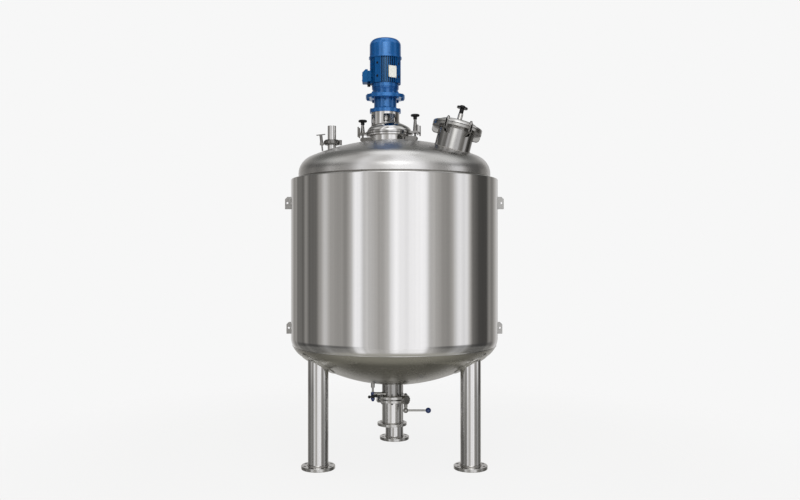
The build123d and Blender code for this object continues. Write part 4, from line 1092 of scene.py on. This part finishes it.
def make_world():
    world = bpy.data.worlds.new("studio")
    world.use_nodes = True
    bpy.context.scene.world = world
    nodes, links = world.node_tree.nodes, world.node_tree.links
    background = nodes["Background"]
    direction = nodes.new("ShaderNodeTexCoord").outputs["Generated"]
    split = nodes.new("ShaderNodeSeparateXYZ")
    links.new(direction, split.inputs[0])
    x, y, z = split.outputs
    turn = math_node(nodes, links, "ARCTAN2", x, y)
    share = math_node(nodes, links, "MULTIPLY_ADD", turn, 0.5 / math.pi, 0.5)
    edged = ramp_node(nodes, links, share, BACK_LINES)
    plain = multiplied(nodes, links, ramp_node(nodes, links, share, PANELS), edged)
    # Fine upright streaks, and a tint from brown in the dark to lilac in the light
    round_line = nodes.new("ShaderNodeCombineXYZ")
    links.new(share, round_line.inputs[0])
    grain = noise_node(nodes, links, round_line.outputs[0], 70, 4, 0.7)
    streak = remapped(nodes, links, grain, SOFT_SPAN, (0.86, 1.12))
    bright = remapped(nodes, links, plain, (0.2, 1.0), (0, 1))
    tint = mixed(nodes, links, bright, (1, 0.965, 0.92), (0.985, 0.98, 1))
    panels = multiplied(nodes, links, multiplied(nodes, links, plain, streak), tint)
    # The sides are darker below and above the jacket's reflections, and paler high up
    aside = math_node(nodes, links, "ABSOLUTE", x)
    sideways = remapped(nodes, links, aside, (0.45, 0.9), (0, 1))
    middle = remapped(nodes, links, aside, (0.12, 0.45), (1, 0))
    low = remapped(nodes, links, z, (-0.19, -0.12), (1, 0))
    raised = remapped(nodes, links, z, (0.15, 0.21), (0, 1))
    near = remapped(nodes, links, z, (0.32, 0.5), (1, 0))
    above = math_node(nodes, links, "MULTIPLY", raised, near)
    band = math_node(nodes, links, "MAXIMUM", low, above)
    aside_band = math_node(nodes, links, "MULTIPLY", sideways, band)
    shaded = math_node(nodes, links, "MULTIPLY", aside_band, 0.7)
    walls = mixed(nodes, links, shaded, panels, (0.05, 0.05, 0.05))
    rightwards = remapped(nodes, links, x, (0.2, 0.5), (0, 1))
    wide = math_node(nodes, links, "MAXIMUM", sideways, rightwards)
    upwards = remapped(nodes, links, z, (0.35, 0.6), (0, 0.8))
    upper = math_node(nodes, links, "MULTIPLY", upwards, wide)
    walls = mixed(nodes, links, upper, walls, (0.68, 0.68, 0.67))
    # A bright window high in front lights the motor and the dome's shoulder
    forwards = remapped(nodes, links, y, (-0.6, -0.8), (0, 1))
    ahead = math_node(nodes, links, "MULTIPLY", forwards, middle)
    sill = remapped(nodes, links, z, (0.20, 0.26), (0, 1))
    lifted = math_node(nodes, links, "MULTIPLY", sill, near)
    window = math_node(nodes, links, "MULTIPLY", ahead, lifted)
    walls = mixed(nodes, links, window, walls, (2.4, 2.4, 2.4))
    # A dark stretch high at the back, and a soft box overhead
    back = remapped(nodes, links, y, (0.1, 0.35), (0, 1))
    high = remapped(nodes, links, z, (0.35, 0.6), (0, 1))
    dark = math_node(nodes, links, "MULTIPLY", back, high)
    walls = mixed(nodes, links, dark, walls, (0.14, 0.14, 0.135))
    overhead = remapped(nodes, links, z, (0.93, 0.98), (0, 1))
    walls = mixed(nodes, links, overhead, walls, (1.1, 1.1, 1.1))
    # Below, a dim floor that is darkest towards the back
    deep = remapped(nodes, links, y, (-0.3, 0.6), (0, 1))
    floor = mixed(nodes, links, deep, (0.36, 0.35, 0.31), (0.12, 0.115, 0.10))
    below = remapped(nodes, links, z, (-0.72, -0.5), (1, 0))
    light = mixed(nodes, links, below, walls, floor)
    links.new(light, background.inputs["Color"])
    seen = nodes.new("ShaderNodeBackground")
    seen.inputs["Color"].default_value = grey(BACKDROP)
    rays = nodes.new("ShaderNodeLightPath")
    camera_ray, passing_ray = rays.outputs["Is Camera Ray"], rays.outputs["Is Transmission Ray"]
    clear = math_node(nodes, links, "MAXIMUM", camera_ray, passing_ray)
    mix = nodes.new("ShaderNodeMixShader")
    links.new(clear, mix.inputs[0])
    links.new(background.outputs[0], mix.inputs[1])
    links.new(seen.outputs[0], mix.inputs[2])
    links.new(mix.outputs[0], nodes["World Output"].inputs["Surface"])


def area_light(name, place, target, width, height, power):
    data = bpy.data.lights.new(name, "AREA")
    data.shape = "RECTANGLE"
    data.size = width
    data.size_y = height
    data.energy = power
    light = bpy.data.objects.new(name, data)
    light.location = place
    light.rotation_euler = (Vector(target) - Vector(place)).to_track_quat("-Z", "Y").to_euler()
    light.visible_glossy = False
    bpy.context.scene.collection.objects.link(light)


make_studio()
make_world()
area_light("top_box", (0, -1, 5.5), (0, 0, 1.5), 3, 3, 60)
area_light("front_box", (-0.6, -5.2, 3.4), (0, 0, 2.2), 0.8, 1.6, 40)
bpy.context.scene.view_settings.view_transform = "Standard"
